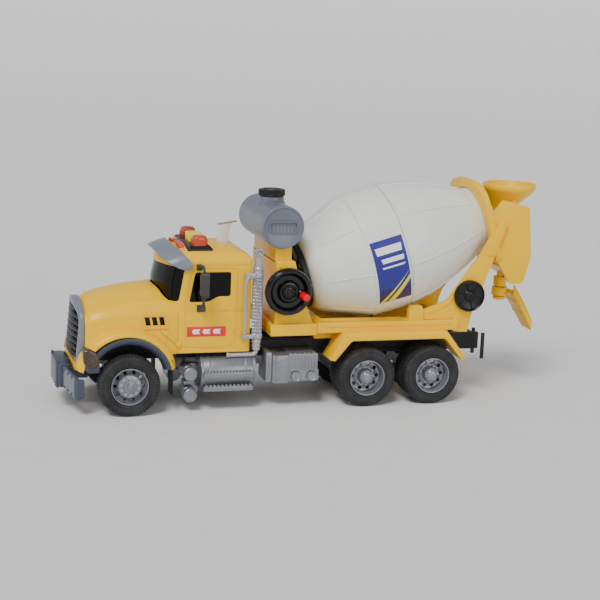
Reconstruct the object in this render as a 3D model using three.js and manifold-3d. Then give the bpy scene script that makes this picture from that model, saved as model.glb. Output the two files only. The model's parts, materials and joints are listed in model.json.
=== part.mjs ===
// Toy cement mixer truck: a free-wheeling bonneted truck with a crank-driven mixing drum.
// Millimetres. +X forward, +Y to the truck's left, +Z up, origin on the ground below the middle.
import * as THREE from 'three';
import { mergeVertices } from 'three/addons/utils/BufferGeometryUtils.js';
import Module from 'manifold-3d';

const wasm = await Module();
wasm.setup();

// ---- driving dimensions -------------------------------------------------------------------
const GAP = 0.3; // clearance between neighbouring pieces
const WALL = 2; // moulded wall thickness

const TYRE_R = 24;
const RIM_R = 15;
const FRONT_AXLE_X = 150.5;
const REAR_AXLE_X = [-42, -98];
const AXLE_Z = TYRE_R;
const AXLE_R = 2;
const FRONT_TYRE_Y = [34.5, 51.5]; // inner and outer side of the front tyres
const REAR_TYRE_Y = [20.5, 50.5]; // the dual rear tyre spans both

const RAIL_Y = [14, 19]; // chassis side rails
const RAIL_Z = [38, 52];
const CHASSIS_X = [-150, 178];

const CAB_X = [53.5, 118];
const CAB_HALF_WIDTH = 39;
const CAB_Z = 46.5;
const CAB_SIDE_TOP = 118.5;
const ROOF_Z = 129;
const COWL_X = 127.5;

const BONNET_FRONT_X = 183;
const ARCH_OPENING_R = 28;
const FENDER_CENTRE = [153.5, 27];
const FENDER_R = 40;
const FENDER_Y = 46.5;
const TRIM_R = 34.3;
const ARCH_SIDES = 32;

const DECK_Z = [60.3, 68.5];
const DECK_Y = 42;
const DECK_X = [-121, -0.5];
const DECK_FLANGE_X = 38;

const TANK_CENTRE = [29.6, 145];
const TANK_R = 17;
const TANK_HALF_LENGTH = 38.8;

const CRANK_X = 25.5;
const CRANK_Z = 95.2;
const HANDWHEEL_R = 19;
const HANDWHEEL_Y = [41, 49];

const DRUM_TILT = THREE.MathUtils.degToRad(16.2);
const DRUM_MAX_R = 53;
const DRUM_WALL = 1.6;
const DRUM_SIDES = 32;
const NECK_R = 28;

const BEVEL_PINION_TEETH = 12;
const BEVEL_GEAR_TEETH = 18;
const FLYWHEEL_PINION_TEETH = 12;
const AXLE_GEAR_TEETH = 30;
const GEAR_MODULE = 0.8;

const CHUTE_PIVOT_X = -175;
const KNOB_CENTRE = [-130, 88];

// ---- materials ----------------------------------------------------------------------------
const finish = (color, roughness, metalness = 0) => ({ color, roughness, metalness });
const YELLOW = finish(0xf5b20c, 0.35);
const BLUE_GREY = finish(0x868c98, 0.4);
const DARK_GREY = finish(0x4b5260, 0.45);
const SILVER = finish(0xb4b9c2, 0.35, 0.4);
const BLACK = finish(0x18181a, 0.4);
const CHARCOAL = finish(0x35363a, 0.6);
const GLASS_BLACK = finish(0x0b0b0d, 0.12);
const RUBBER = finish(0x3c3c3e, 0.8);
const CREAM = finish(0xe1e4de, 0.35);
const AMBER = finish(0xc8460a, 0.25);
const RED = finish(0xe60a28, 0.35);
const SMOKE = finish(0x8a6a3a, 0.2);
const STEEL = finish(0xa9abae, 0.3, 0.9);
const LIME = finish(0xffe11a, 0.4);
const GREEN = finish(0x2b6b45, 0.5);

// ---- solids from three.js geometry --------------------------------------------------------
function solid(geometry) {
  const bare = geometry.clone();
  bare.deleteAttribute('normal');
  bare.deleteAttribute('uv');
  const merged = mergeVertices(bare, 1e-4);
  const index = merged.index.array;
  const kept = [];
  for (let i = 0; i < index.length; i += 3) {
    const [a, b, c] = [index[i], index[i + 1], index[i + 2]];
    if (a !== b && b !== c && c !== a) kept.push(a, b, c);
  }
  const positions = merged.attributes.position.array;
  if (signedVolume(positions, kept) < 0) kept.reverse();
  return new wasm.Manifold(new wasm.Mesh({
    numProp: 3,
    vertProperties: new Float32Array(positions),
    triVerts: new Uint32Array(kept),
  }));
}

function signedVolume(positions, index) {
  const corner = (i) => new THREE.Vector3().fromArray(positions, index[i] * 3);
  let total = 0;
  for (let i = 0; i < index.length; i += 3) {
    total += corner(i).dot(corner(i + 1).cross(corner(i + 2))) / 6;
  }
  return total;
}

function geometryOf(manifold) {
  const mesh = manifold.getMesh();
  const geometry = new THREE.BufferGeometry();
  geometry.setAttribute('position', new THREE.BufferAttribute(mesh.vertProperties, 3));
  geometry.setIndex(new THREE.BufferAttribute(mesh.triVerts, 1));
  geometry.computeVertexNormals();
  return geometry;
}

function union(...solids) {
  return solids.reduce((sum, next) => sum.add(next));
}

function cut(body, ...tools) {
  return tools.reduce((rest, tool) => rest.subtract(tool), body);
}

// An outline's points are [a, b] or [a, b, radius] for a rounded corner.
function shapeOf(points) {
  const shape = new THREE.Shape();
  points.forEach(([a, b, radius = 0], i) => {
    const corner = new THREE.Vector2(a, b);
    if (radius === 0) {
      if (i === 0) shape.moveTo(a, b);
      else shape.lineTo(a, b);
      return;
    }
    const [before, after] = [points.at(i - 1), points[(i + 1) % points.length]];
    const toBefore = new THREE.Vector2(before[0] - a, before[1] - b);
    const toAfter = new THREE.Vector2(after[0] - a, after[1] - b);
    toBefore.setLength(Math.min(radius, toBefore.length() * 0.45));
    toAfter.setLength(Math.min(radius, toAfter.length() * 0.45));
    const start = corner.clone().add(toBefore);
    const end = corner.clone().add(toAfter);
    if (i === 0) shape.moveTo(start.x, start.y);
    else shape.lineTo(start.x, start.y);
    shape.quadraticCurveTo(a, b, end.x, end.y);
  });
  shape.closePath();
  return shape;
}

function extruded(points, depth, curveSegments) {
  return new THREE.ExtrudeGeometry(shapeOf(points), { depth, bevelEnabled: false, curveSegments });
}

const AXES_X = new THREE.Matrix4().set(0, 0, 1, 0, 1, 0, 0, 0, 0, 1, 0, 0, 0, 0, 0, 1);
const AXES_Y = new THREE.Matrix4().set(1, 0, 0, 0, 0, 0, -1, 0, 0, 1, 0, 0, 0, 0, 0, 1);

// Prisms along X from a (y, z) outline, along Y from (x, z), and along Z from (x, y).
function prismX(points, x0, x1, segments = 2) {
  return solid(extruded(points, x1 - x0, segments).applyMatrix4(AXES_X)).translate(x0, 0, 0);
}

function prismY(points, y0, y1, segments = 2) {
  return solid(extruded(points, y1 - y0, segments).applyMatrix4(AXES_Y)).translate(0, y1, 0);
}

function prismZ(points, z0, z1, segments = 2) {
  return solid(extruded(points, z1 - z0, segments)).translate(0, 0, z0);
}

function box(x0, x1, y0, y1, z0, z1) {
  const geometry = new THREE.BoxGeometry(x1 - x0, y1 - y0, z1 - z0);
  return solid(geometry).translate((x0 + x1) / 2, (y0 + y1) / 2, (z0 + z1) / 2);
}

// Cylinder about Y, or turned to another axis by the caller's group or rotate call.
function rod(radius, y0, y1, x = 0, z = 0, sides = 24, endRadius = radius) {
  const geometry = new THREE.CylinderGeometry(endRadius, radius, y1 - y0, sides);
  return solid(geometry).translate(x, (y0 + y1) / 2, z);
}

function rodX(radius, x0, x1, y, z, sides = 20) {
  return rod(radius, -x1, -x0, 0, 0, sides).rotate([0, 0, 90]).translate(0, y, z);
}

function rodZ(radius, z0, z1, x, y, sides = 20, topRadius = radius) {
  return rod(radius, z0, z1, 0, 0, sides, topRadius).rotate([90, 0, 0]).translate(x, y, 0);
}

// Turned body about Y from an anticlockwise (radius, y) profile. A facet, not an edge, faces the
// ground, and the profile's radii are those of the facets.
function turned(profile, sides = 20) {
  const reach = 1 / Math.cos(Math.PI / sides);
  const points = profile.map(([r, y]) => new THREE.Vector2(r * reach, y));
  if (profile[0][0] > 0) points.push(points[0].clone());
  return solid(new THREE.LatheGeometry(points, sides, Math.PI / sides));
}

function mirrorLeftRight(body) {
  return body.mirror([0, 1, 0]);
}

// Both sides of a piece that is drawn on the left.
function bothSides(body) {
  return body.add(mirrorLeftRight(body));
}

// Moves every edge of an outline inward by the given distance.
function inset(points, distance) {
  const anticlockwise = THREE.ShapeUtils.area(points.map(([a, b]) => new THREE.Vector2(a, b))) > 0;
  const side = anticlockwise ? 1 : -1;
  return points.map(([a, b, radius = 0], i) => {
    const [pa, pb] = points.at(i - 1);
    const [na, nb] = points[(i + 1) % points.length];
    const before = new THREE.Vector2(a - pa, b - pb).normalize();
    const after = new THREE.Vector2(na - a, nb - b).normalize();
    const normalBefore = new THREE.Vector2(-before.y, before.x).multiplyScalar(side);
    const normalAfter = new THREE.Vector2(-after.y, after.x).multiplyScalar(side);
    const bisector = normalBefore.clone().add(normalAfter).normalize();
    const reach = distance / bisector.dot(normalBefore);
    return [a + bisector.x * reach, b + bisector.y * reach, Math.max(radius - distance, 0)];
  });
}

// Symmetric outline from its left half, given from the bottom to the top of the middle line.
function symmetric(half) {
  const mirrored = half.filter(([a]) => a > 0).map(([a, b, radius]) => [-a, b, radius]);
  return [...half, ...mirrored.reverse()];
}

// Skin through cross sections of equal point counts, closed with flat ends. The ends are
// triangulated in the (y, z) plane, or in (x, y) for sections stacked along Z.
function loft(sections, flat = [1, 2]) {
  const count = sections[0].length;
  const index = [];
  for (let i = 0; i + 1 < sections.length; i += 1) {
    for (let j = 0; j < count; j += 1) {
      const k = (j + 1) % count;
      const [a, b, c, d] = [i * count + j, i * count + k, (i + 1) * count + k, (i + 1) * count + j];
      index.push(a, c, b, a, d, c);
    }
  }
  const contour = sections[0].map((p) => new THREE.Vector2(p[flat[0]], p[flat[1]]));
  const area = THREE.ShapeUtils.area(contour);
  const last = (sections.length - 1) * count;
  THREE.ShapeUtils.triangulateShape(contour, []).forEach(([a, b, c]) => {
    const alongRing = THREE.ShapeUtils.area([contour[a], contour[b], contour[c]]) * area > 0;
    const [p, q] = alongRing ? [b, c] : [c, b];
    index.push(a, p, q, last + a, last + q, last + p);
  });
  const geometry = new THREE.BufferGeometry();
  geometry.setAttribute('position', new THREE.Float32BufferAttribute(sections.flat(2), 3));
  geometry.setIndex(index);
  return solid(geometry);
}

// Round bar along a route of points.
function bar(route, radius, sides, steps) {
  const angles = Array.from({ length: sides }, (_, i) => (2 * Math.PI * i) / sides);
  const corners = angles.map((a) => new THREE.Vector2(Math.cos(a) * radius, Math.sin(a) * radius));
  const section = new THREE.Shape(corners);
  const points = route.map((p) => new THREE.Vector3(...p));
  const path = new THREE.CatmullRomCurve3(points, false, 'centripetal');
  return solid(new THREE.ExtrudeGeometry(section, { steps, extrudePath: path, curveSegments: 1 }));
}

// ---- scene graph --------------------------------------------------------------------------
const truck = new THREE.Group();

function piece(name, body, look, parent = truck) {
  const mesh = new THREE.Mesh(geometryOf(body), new THREE.MeshStandardMaterial(look));
  mesh.name = name;
  parent.add(mesh);
  return mesh;
}

function pair(name, left, look, parent = truck) {
  piece(`${name}_left`, left, look, parent);
  piece(`${name}_right`, mirrorLeftRight(left), look, parent);
}

// ---- wheels -------------------------------------------------------------------------------
// Left-hand wheels are drawn about their own axle line, and right-hand ones mirror them.
function frontWheel() {
  const [inner, outer] = FRONT_TYRE_Y;
  const tyre = turned([
    [RIM_R, inner + 1.5], [20, inner], [TYRE_R, inner + 2.5],
    [TYRE_R, outer - 2.5], [20, outer], [RIM_R, outer - 1.5],
  ]);
  const seat = RIM_R - GAP;
  const bore = AXLE_R + GAP;
  const rim = turned([
    [0, 46], [bore, 46], [bore, inner + 1.5], [6, inner + 1.5], [6, 44], [13, 44],
    [13, inner + 1.5], [seat, inner + 1.5], [seat, outer - 0.9], [13.2, outer - 0.9],
    [12.2, 47.5], [5, 50.8], [4, 52.2], [0, 52.2],
  ]);
  return { tyre, rim };
}

function rearWheel() {
  const [inner, outer] = REAR_TYRE_Y;
  const middle = (inner + outer) / 2;
  const tyre = turned([
    [RIM_R, inner + 1.5], [20, inner], [TYRE_R, inner + 2.5], [TYRE_R, middle - 3],
    [18, middle - 0.9], [18, middle + 0.9], [TYRE_R, middle + 3], [TYRE_R, outer - 2.5],
    [20, outer], [RIM_R, outer - 1.5],
  ]);
  const seat = RIM_R - GAP;
  const bore = AXLE_R + GAP;
  const rim = turned([
    [0, 43], [bore, 43], [bore, inner + 1], [6, inner + 1], [6, 38], [13, 38],
    [13, inner + 1], [seat, inner + 1], [seat, outer - 0.5], [13.4, outer - 0.5],
    [12.8, 41.5], [6, 41.5], [5.6, 48], [3.5, 49.5], [0, 50],
  ]);
  return { tyre, rim };
}

// Gear outline about the origin: flat-topped teeth with a third of a pitch of backlash.
function gearOutline(teeth, pitchRadius, module, toothAt) {
  const points = [];
  const pitch = (2 * Math.PI) / teeth;
  for (let i = 0; i < teeth; i += 1) {
    const middle = toothAt + i * pitch;
    for (const [offset, reach] of [[-0.25, -1], [-0.09, 0.75], [0.09, 0.75], [0.25, -1]]) {
      const radius = pitchRadius + reach * module;
      const angle = middle + offset * pitch;
      points.push([radius * Math.cos(angle), radius * Math.sin(angle)]);
    }
  }
  return points;
}

const flywheelOffset = ((AXLE_GEAR_TEETH + FLYWHEEL_PINION_TEETH) * GEAR_MODULE) / 2;
const flywheelLift = THREE.MathUtils.degToRad(25);
const FLYWHEEL_X = REAR_AXLE_X[0] + flywheelOffset * Math.cos(flywheelLift);
const FLYWHEEL_Z = AXLE_Z + flywheelOffset * Math.sin(flywheelLift);

function axleRod(halfLength) {
  return rod(AXLE_R, -halfLength, halfLength, 0, 0, 12);
}

function addWheels() {
  const front = new THREE.Group();
  front.position.set(FRONT_AXLE_X, 0, AXLE_Z);
  truck.add(front);
  const steer = frontWheel();
  piece('front_axle', axleRod(45.6), STEEL, front);
  pair('front_tyre', steer.tyre, RUBBER, front);
  pair('front_rim', steer.rim, SILVER, front);
  REAR_AXLE_X.forEach((x, i) => {
    const axle = new THREE.Group();
    axle.position.set(x, 0, AXLE_Z);
    truck.add(axle);
    const dual = rearWheel();
    const driven = i === 0;
    const name = driven ? 'drive_axle' : 'trailing_axle';
    piece(name, driven ? axleRod(42.6).add(axleGear()) : axleRod(42.6), STEEL, axle);
    pair(`rear_tyre_${i + 1}`, dual.tyre, RUBBER, axle);
    pair(`rear_rim_${i + 1}`, dual.rim, SILVER, axle);
  });
}

function axleGear() {
  const radius = (AXLE_GEAR_TEETH * GEAR_MODULE) / 2;
  return prismY(gearOutline(AXLE_GEAR_TEETH, radius, GEAR_MODULE, flywheelLift), 1, 4, 1);
}

function addFlywheel() {
  const radius = (FLYWHEEL_PINION_TEETH * GEAR_MODULE) / 2;
  const gapFacesAxle = flywheelLift + Math.PI + Math.PI / FLYWHEEL_PINION_TEETH;
  const pinion = prismY(gearOutline(FLYWHEEL_PINION_TEETH, radius, GEAR_MODULE, gapFacesAxle), 0, 5, 1);
  const group = new THREE.Group();
  group.position.set(FLYWHEEL_X, 0, FLYWHEEL_Z);
  truck.add(group);
  const rotor = union(rod(1.5, -13, 13, 0, 0, 10), rod(10.5, -9, -4, 0, 0, 20), pinion);
  piece('flywheel', rotor, STEEL, group);
}

// ---- chassis ------------------------------------------------------------------------------
function addChassis() {
  const [inner, outer] = RAIL_Y;
  const [low, high] = RAIL_Z;
  const [rear, front] = CHASSIS_X;
  const rail = box(rear, front, inner, outer, low, high);
  const hanger = (x, halfLength, y0, y1) => box(x - halfLength, x + halfLength, y0, y1, 17, low + 2);
  const frontHanger = hanger(FRONT_AXLE_X, 6, inner, outer);
  const rearHangers = union(
    box(REAR_AXLE_X[0] - 8, FLYWHEEL_X + 6, 11, 14.2, 17, low + 2),
    hanger(REAR_AXLE_X[1], 7, 11, 14.2),
    box(REAR_AXLE_X[1] - 7, FLYWHEEL_X + 6, 11, inner + 0.5, low, low + 3),
  );
  const mudflap = union(
    box(114, 117, 27, 47, 10.5, 45),
    box(114, 120, inner, 40, 41, 45),
  );
  const side = union(rail, frontHanger, rearHangers, mudflap);
  const crossX = [[172, front], [104, 110], [20, 26], [-76, -70], [rear, rear + 6]];
  const reach = outer - 0.5;
  const cross = union(...crossX.map(([x0, x1]) => box(x0, x1, -reach, reach, low + 2, high - 2)));
  const nose = bothSides(box(172, front, 10, reach, 24, high - 2));
  const tail = box(rear - 4, rear + 0.5, -37, 37, 30, 56);
  const body = union(bothSides(side), cross, nose, tail);
  const bores = [FRONT_AXLE_X, ...REAR_AXLE_X].map((x) => rod(AXLE_R + 0.4, -30, 30, x, AXLE_Z, 12));
  const flywheelBore = rod(1.9, -30, 30, FLYWHEEL_X, FLYWHEEL_Z, 10);
  piece('chassis_frame', cut(body, ...bores, flywheelBore), CHARCOAL);
  const cover = union(box(60, 102, -13.6, 13.6, 42, 44), box(64, 98, -10, 10, 43.5, 46));
  piece('battery_cover', cover, CHARCOAL);
}

function addBumper() {
  const plan = [
    [203, 0], [203, 14], [201, 21], [197.5, 23], [191, 45.5], [184.5, 46.5], [184.5, 43],
    [188, 41.5], [193, 22], [193, 0],
  ];
  const wholePlan = [...plan, ...plan.slice(1, -1).map(([x, y]) => [x, -y]).reverse()];
  const front = symmetric([[0, 18], [22, 18], [46.5, 13.5, 1], [46.5, 30.5, 1], [22, 36], [0, 37]]);
  const face = prismZ(wholePlan, 10, 40).intersect(prismX(front, 180, 210));
  const guards = union(...[-9, 0, 9].map((y) => box(195, 202.6, y - 2, y + 2, 16, 38)));
  const stays = bothSides(box(GAP + CHASSIS_X[1], 194, 12, 18, 24, 32));
  piece('bumper', union(face, guards, stays), DARK_GREY);
}

// Tanks and steps that hang outside the rails, each open towards the rail.
function addSideTanks() {
  const cx = 31.5;
  const radius = 13.3;
  const round = Array.from({ length: 9 }, (_, i) => {
    const angle = ((i - 4) * Math.PI) / 8;
    return [cx + radius * Math.cos(angle), 30 + radius * Math.sin(angle)];
  });
  const shell = prismX([[19.5, 16.7], ...round, [19.5, 43.3]], 49, 93.5);
  const hollow = box(51, 91.5, 19, 36, 20, 40);
  const steps = union(
    box(52, 92, 42, 46.5, 28.5, 31.8),
    box(52, 92, 38, 46.5, 16.7, 20.5),
  );
  const airTanks = union(rod(5.7, 22, 45, 102, 30.5, 16), rod(5.7, 22, 45, 102, 13.6, 16));
  const bracket = box(93, 103, 24, 30, 12, 36);
  pair('fuel_tank', union(shell.subtract(hollow), steps, airTanks, bracket), SILVER);
  const housing = union(
    prismZ([[23, 20], [37, 20], [37, 42.5], [34.5, 45], [23, 45]], 20.8, 43.7),
    box(36.5, 41.3, 20, 43, 22, 46),
    box(-1, 23.5, 20, 45, 30.5, 45),
    box(-2.6, 23.5, 20, 43, 21.8, 31),
    rod(4.1, 42, 46, 16.7, 26.1, 12),
    rod(4.1, 42, 46, 3.4, 26.1, 12),
  );
  pair('battery_box', housing.subtract(box(1.5, 34, 19, 40, 24.5, 41)), SILVER);
}

// ---- bonnet -------------------------------------------------------------------------------
function bonnetSection(x, bottom, half, belt, shoulder, crown, top) {
  const left = [
    [half, bottom], [half + 0.5, (bottom + belt) / 2], [half, belt], [shoulder[0], shoulder[1]],
    [crown[0], crown[1]], [0, top],
  ];
  const right = left.slice(0, -1).map(([y, z]) => [-y, z]).reverse();
  return [...left, ...right].map(([y, z]) => [x, y, z]);
}

// The bonnet's bulk, drawn o millimetres inside its outer surface.
function bonnetSkin(o) {
  const front = BONNET_FRONT_X - o;
  return loft([
    bonnetSection(112 - o, 46.3 - 4 * o, 38.2 - o, 79.5 - o, [31 - o, 88 - o], [16, 96.5 - o], 99.3 - o),
    bonnetSection(132, 44 - 4 * o, 38 - o, 78.6 - o, [31 - o, 87.2 - o], [16, 94.8 - o], 97.4 - o),
    bonnetSection(150, 38 - 4 * o, 37.7 - o, 77.5 - o, [30.5 - o, 85.8 - o], [16, 92.6 - o], 95 - o),
    bonnetSection(166, 34 - 4 * o, 37 - o, 75.5 - o, [30 - o, 83.5 - o], [16, 89.8 - o], 92 - o),
    bonnetSection(177, 34 - 4 * o, 36 - o, 73.5 - o, [29.3 - o, 81 - o], [15, 86.2 - o], 88.2 - o),
    bonnetSection(front, 34 - 4 * o, 34 - o, 71 - o, [27.8 - o, 77 - o], [14, 81.4 - o], 83 - o),
  ]);
}

function cabOutline(offset) {
  const side = inset([
    [CAB_X[0], CAB_Z, 1], [COWL_X, CAB_Z], [COWL_X, 101, 2], [123, 119, 3], [117, ROOF_Z - 1.5, 6],
    [104, ROOF_Z, 8], [58, ROOF_Z, 4], [CAB_X[0], 123, 5],
  ], offset);
  const front = inset(symmetric([
    [CAB_HALF_WIDTH, CAB_Z], [CAB_HALF_WIDTH, CAB_SIDE_TOP, 3], [35, 124, 3], [26, 127, 6], [0, ROOF_Z],
  ]), offset);
  const plan = inset([
    [CAB_X[0], -CAB_HALF_WIDTH, 3], [113, -CAB_HALF_WIDTH, 5], [122, -27, 5], [COWL_X, -8, 6],
    [COWL_X, 8, 6], [122, 27, 5], [113, CAB_HALF_WIDTH, 5], [CAB_X[0], CAB_HALF_WIDTH, 3],
  ], offset);
  return prismY(side, -60, 60).intersect(prismX(front, 0, 200)).intersect(prismZ(plan, 0, 200));
}

const SIDE_WINDOW = [
  [70.5, 91.2, 2], [80.5, 91.2, 2], [88, 87, 2], [103.5, 87, 2], [99, 110.5, 2], [70.5, 110.5, 2],
];
const WINDSHIELD = [[111.5, 87.5, 2], [140, 87.5], [140, 113.5], [107, 113.5, 1]];

function windowOpenings(shrink) {
  const side = prismY(inset(SIDE_WINDOW, shrink), -60, 60);
  const front = prismY(inset(WINDSHIELD, shrink), -60, 60);
  return side.add(front);
}

function addCab() {
  const outer = cabOutline(0);
  const lowerFront = box(CAB_X[1], 140, -60, 60, 0, 82);
  const cavity = cabOutline(WALL).add(cabOutline(WALL).translate(0, 0, -30));
  const doorway = box(100, 130, -34, 34, 40, 84);
  const railNotch = box(50, 60, -20, 20, 40, RAIL_Z[1] + 0.5);
  const stem = box(86, 98.5, -8.5, 8.5, 100, 140);
  const slots = union(
    box(63.7, 65.1, 17, 22, 120, 140),
    box(70.6, 72, 17, 22, 120, 140),
    box(64, 74.6, -1.1, 1.1, 120, 140),
  );
  const lampHoles = bothSides(box(106.4 - GAP, 108.4 + GAP, 8 - GAP, 16 + GAP, 115, 140));
  const openings = union(lowerFront, doorway, railNotch, windowOpenings(0), stem, slots, lampHoles);
  const corners = [[82, 13], [82, -13], [102.5, 13], [102.5, -13]];
  const posts = union(...corners.map(([x, y]) => rodZ(1.8, 110, 127.5, x, y, 6)));
  piece('cab_shell', cut(outer, cavity, openings).add(posts), YELLOW);
  const lining = cabOutline(WALL + GAP).subtract(cabOutline(WALL + GAP + 1.2));
  const panes = cabOutline(0.4).subtract(cabOutline(WALL + GAP + 1)).intersect(windowOpenings(GAP));
  piece('cab_glazing', lining.intersect(box(0, 200, -60, 60, 84.5, 116)).add(panes), GLASS_BLACK);
  piece('bonnet', bonnet(), YELLOW);
}

function bonnet() {
  const [fx, fz] = FENDER_CENTRE;
  const edgeY = FENDER_Y - 2.5;
  const fender = union(
    rod(FENDER_R, 30, edgeY, fx, fz, ARCH_SIDES),
    rod(FENDER_R, edgeY, FENDER_Y, fx, fz, ARCH_SIDES, FENDER_R - 3),
  );
  const fenders = bothSides(fender).intersect(box(121, 184.5, -60, 60, 36.5, 90));
  const lip = box(BONNET_FRONT_X - 2, 190.5, -32, 32, 33.8, 37.4);
  const body = union(bonnetSkin(0), fenders, lip);
  const cavity = bonnetSkin(WALL);
  const arch = bothSides(rod(ARCH_OPENING_R, 20, 60, FRONT_AXLE_X, AXLE_Z, ARCH_SIDES));
  const trimSeat = bothSides(rod(TRIM_R + GAP, 40 - GAP, 60, fx - 3, fz, ARCH_SIDES));
  const lamp = bothSides(headlampBody(GAP));
  const cabSpace = cabOutline(-GAP).add(box(50, CAB_X[1] + GAP, -60, 60, 30, 84));
  const cowlSpace = cabSpace.subtract(box(CAB_X[1] + GAP, 140, -60, 60, 0, 82));
  return cut(body, cavity, arch, trimSeat, lamp, cowlSpace);
}

function headlampBody(grow) {
  const [rear, front, inner, outer] = [172 - grow, 184 + grow, 33 - grow, 45 + grow];
  const outline = [[rear, inner], [front, inner], [front, 38, 2], [179, outer, 2], [rear, outer]];
  return prismZ(outline, 38.5 - grow, 51 + grow);
}

function addFront() {
  const [fx, fz] = FENDER_CENTRE;
  const trim = cut(
    rod(TRIM_R, 40, 48.5, fx - 3, fz, ARCH_SIDES),
    rod(ARCH_OPENING_R, 30, 60, FRONT_AXLE_X, AXLE_Z, ARCH_SIDES),
    box(100, 200, 30, 60, -20, 37),
    headlampBody(GAP),
  );
  pair('arch_trim', trim, DARK_GREY);
  pair('headlamp', headlampBody(0), SMOKE);
  const face = (offset) => {
    const curve = [-33, -20, -7, 7, 20, 33].map((y) => [193.5 - offset - 4.6 * (y / 33) ** 2, y]);
    const plan = [[BONNET_FRONT_X + GAP, -33], ...curve, [BONNET_FRONT_X + GAP, 33]];
    const lean = new THREE.Matrix4().set(1, 0, -0.08, 3.2, 0, 1, 0, 0, 0, 0, 1, 0, 0, 0, 0, 1);
    return solid(extruded(plan, 60, 1).translate(0, 0, 30).applyMatrix4(lean));
  };
  const besideBonnet = box(BONNET_FRONT_X + GAP, 210, -40, 40, 0, 100);
  const clear = besideBonnet.subtract(box(170, 185, -60, 60, 0, 54));
  const outline = symmetric([[33, 37.8, 2], [33, 72, 5], [27, 80, 4], [14, 84.5, 3], [0, 86]]);
  const opening = inset(outline, 4.5);
  const rim = prismX(outline, 170, 210).subtract(prismX(opening, 170, 210));
  piece('grille_surround', face(0).intersect(rim).intersect(clear), BLUE_GREY);
  const inside = prismX(inset(opening, GAP), 170, 210).intersect(clear);
  const heights = Array.from({ length: 6 }, (_, i) => 44 + i * 6);
  const slats = union(...heights.map((z) => box(184, 200, -40, 40, z, z + 2.6)));
  piece('grille', union(face(3).intersect(inside), face(1).intersect(inside).intersect(slats)), BLACK);
}

// ---- roof equipment -----------------------------------------------------------------------
function addRoofGear() {
  const roofArch = [
    [CAB_HALF_WIDTH, 100], [CAB_HALF_WIDTH, CAB_SIDE_TOP, 3], [35, 124, 3], [26, 127, 6], [0, ROOF_Z],
  ];
  const above = prismX(inset(symmetric(roofArch), -2.3), 95, 140);
  const brow = above.subtract(prismX(inset(symmetric(roofArch), -GAP), 90, 145));
  const brim = prismY([
    [104.3, 111.6, 2], [110, 112.9, 1], [117, 119.5, 3], [122, 123.7], [125.4, 127.4], [127.3, 133],
    [127.3, 140], [112, 140], [101.2, 118.6, 3],
  ], -60, 60);
  const droop = (x) => -1.2 - 0.3 * x;
  const visor = brow.intersect(brim).warp((v) => {
    v[2] += droop(v[0] - 112);
  });
  piece('sun_visor', cut(visor, cabOutline(-GAP), box(90, 110.5, -22, 22, 100, 140)), BLUE_GREY);

  const barTop = 129.8;
  const bed = prismX([
    [-31, 122], [31, 122], [31, 126.5], [28, barTop], [-28, barTop], [-31, 126.5],
  ], 83.5, 103.5);
  const pocket = box(86 - GAP, 98.5 + GAP, -8.5 - GAP, 8.5 + GAP, 100, 140);
  piece('light_bar', cut(bed, cabOutline(-GAP), pocket), BLACK);
  const beacon = union(
    rodZ(6.3, barTop + GAP, 135.6, 93, 22, 16, 5.9),
    rodZ(5.9, 135.5, 137.3, 93, 22, 16, 4.4),
  );
  pair('beacon', beacon, AMBER);
  const flange = box(84, 100.5, -10.5, 10.5, 122.4, 124.2);
  const cap = box(86 + GAP, 98.5 - GAP, -8.5 + GAP, 8.5 - GAP, 123.4, 135.8);
  piece('sound_button', flange.add(cap), LIME);
  const coil = rodZ(4, 110.2, 122.1, 92.2, 0, 14).subtract(rodZ(3, 100, 140, 92.2, 0, 14));
  piece('button_spring', coil, STEEL);
  const cells = rodX(5.8, 84, 100.2, 0, 102, 12);
  const board = union(box(80, 104.5, -15, 15, 108, 109.7), cells, box(84, 100, -3, 3, 104, 108.5));
  const tab = prismY([
    [80.5, 108.2], [80.5, 109.4], [74, 112], [73.8, 130], [71.6, 141], [74.2, 141.2], [74, 143],
    [57.6, 145.2], [57.4, 143.6], [62.6, 142.2], [64.8, 129.5], [64.8, 112], [68, 108.2],
  ], -0.5, 0.5);
  piece('sound_module', board.add(tab), GREEN);
  const [sx, sy] = [67, -17];
  const cone = cut(rodZ(10, 117, 121.5, sx, sy, 18), rodZ(8.5, 119, 130, sx, sy, 18));
  piece('speaker', cone.add(rodZ(5.5, 113, 118, sx, sy, 12)), BLACK);
  const lamp = box(104.8, 110, 4, 20, 120, 130.6).subtract(cabOutline(-GAP));
  const stem = box(106.4, 108.4, 8, 16, 121, 128.6);
  const guide = box(105.8, 109, -21, 21, 118.5, 121.3);
  piece('marker_lamps', union(guide, bothSides(lamp), bothSides(stem)), AMBER);
}

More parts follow.
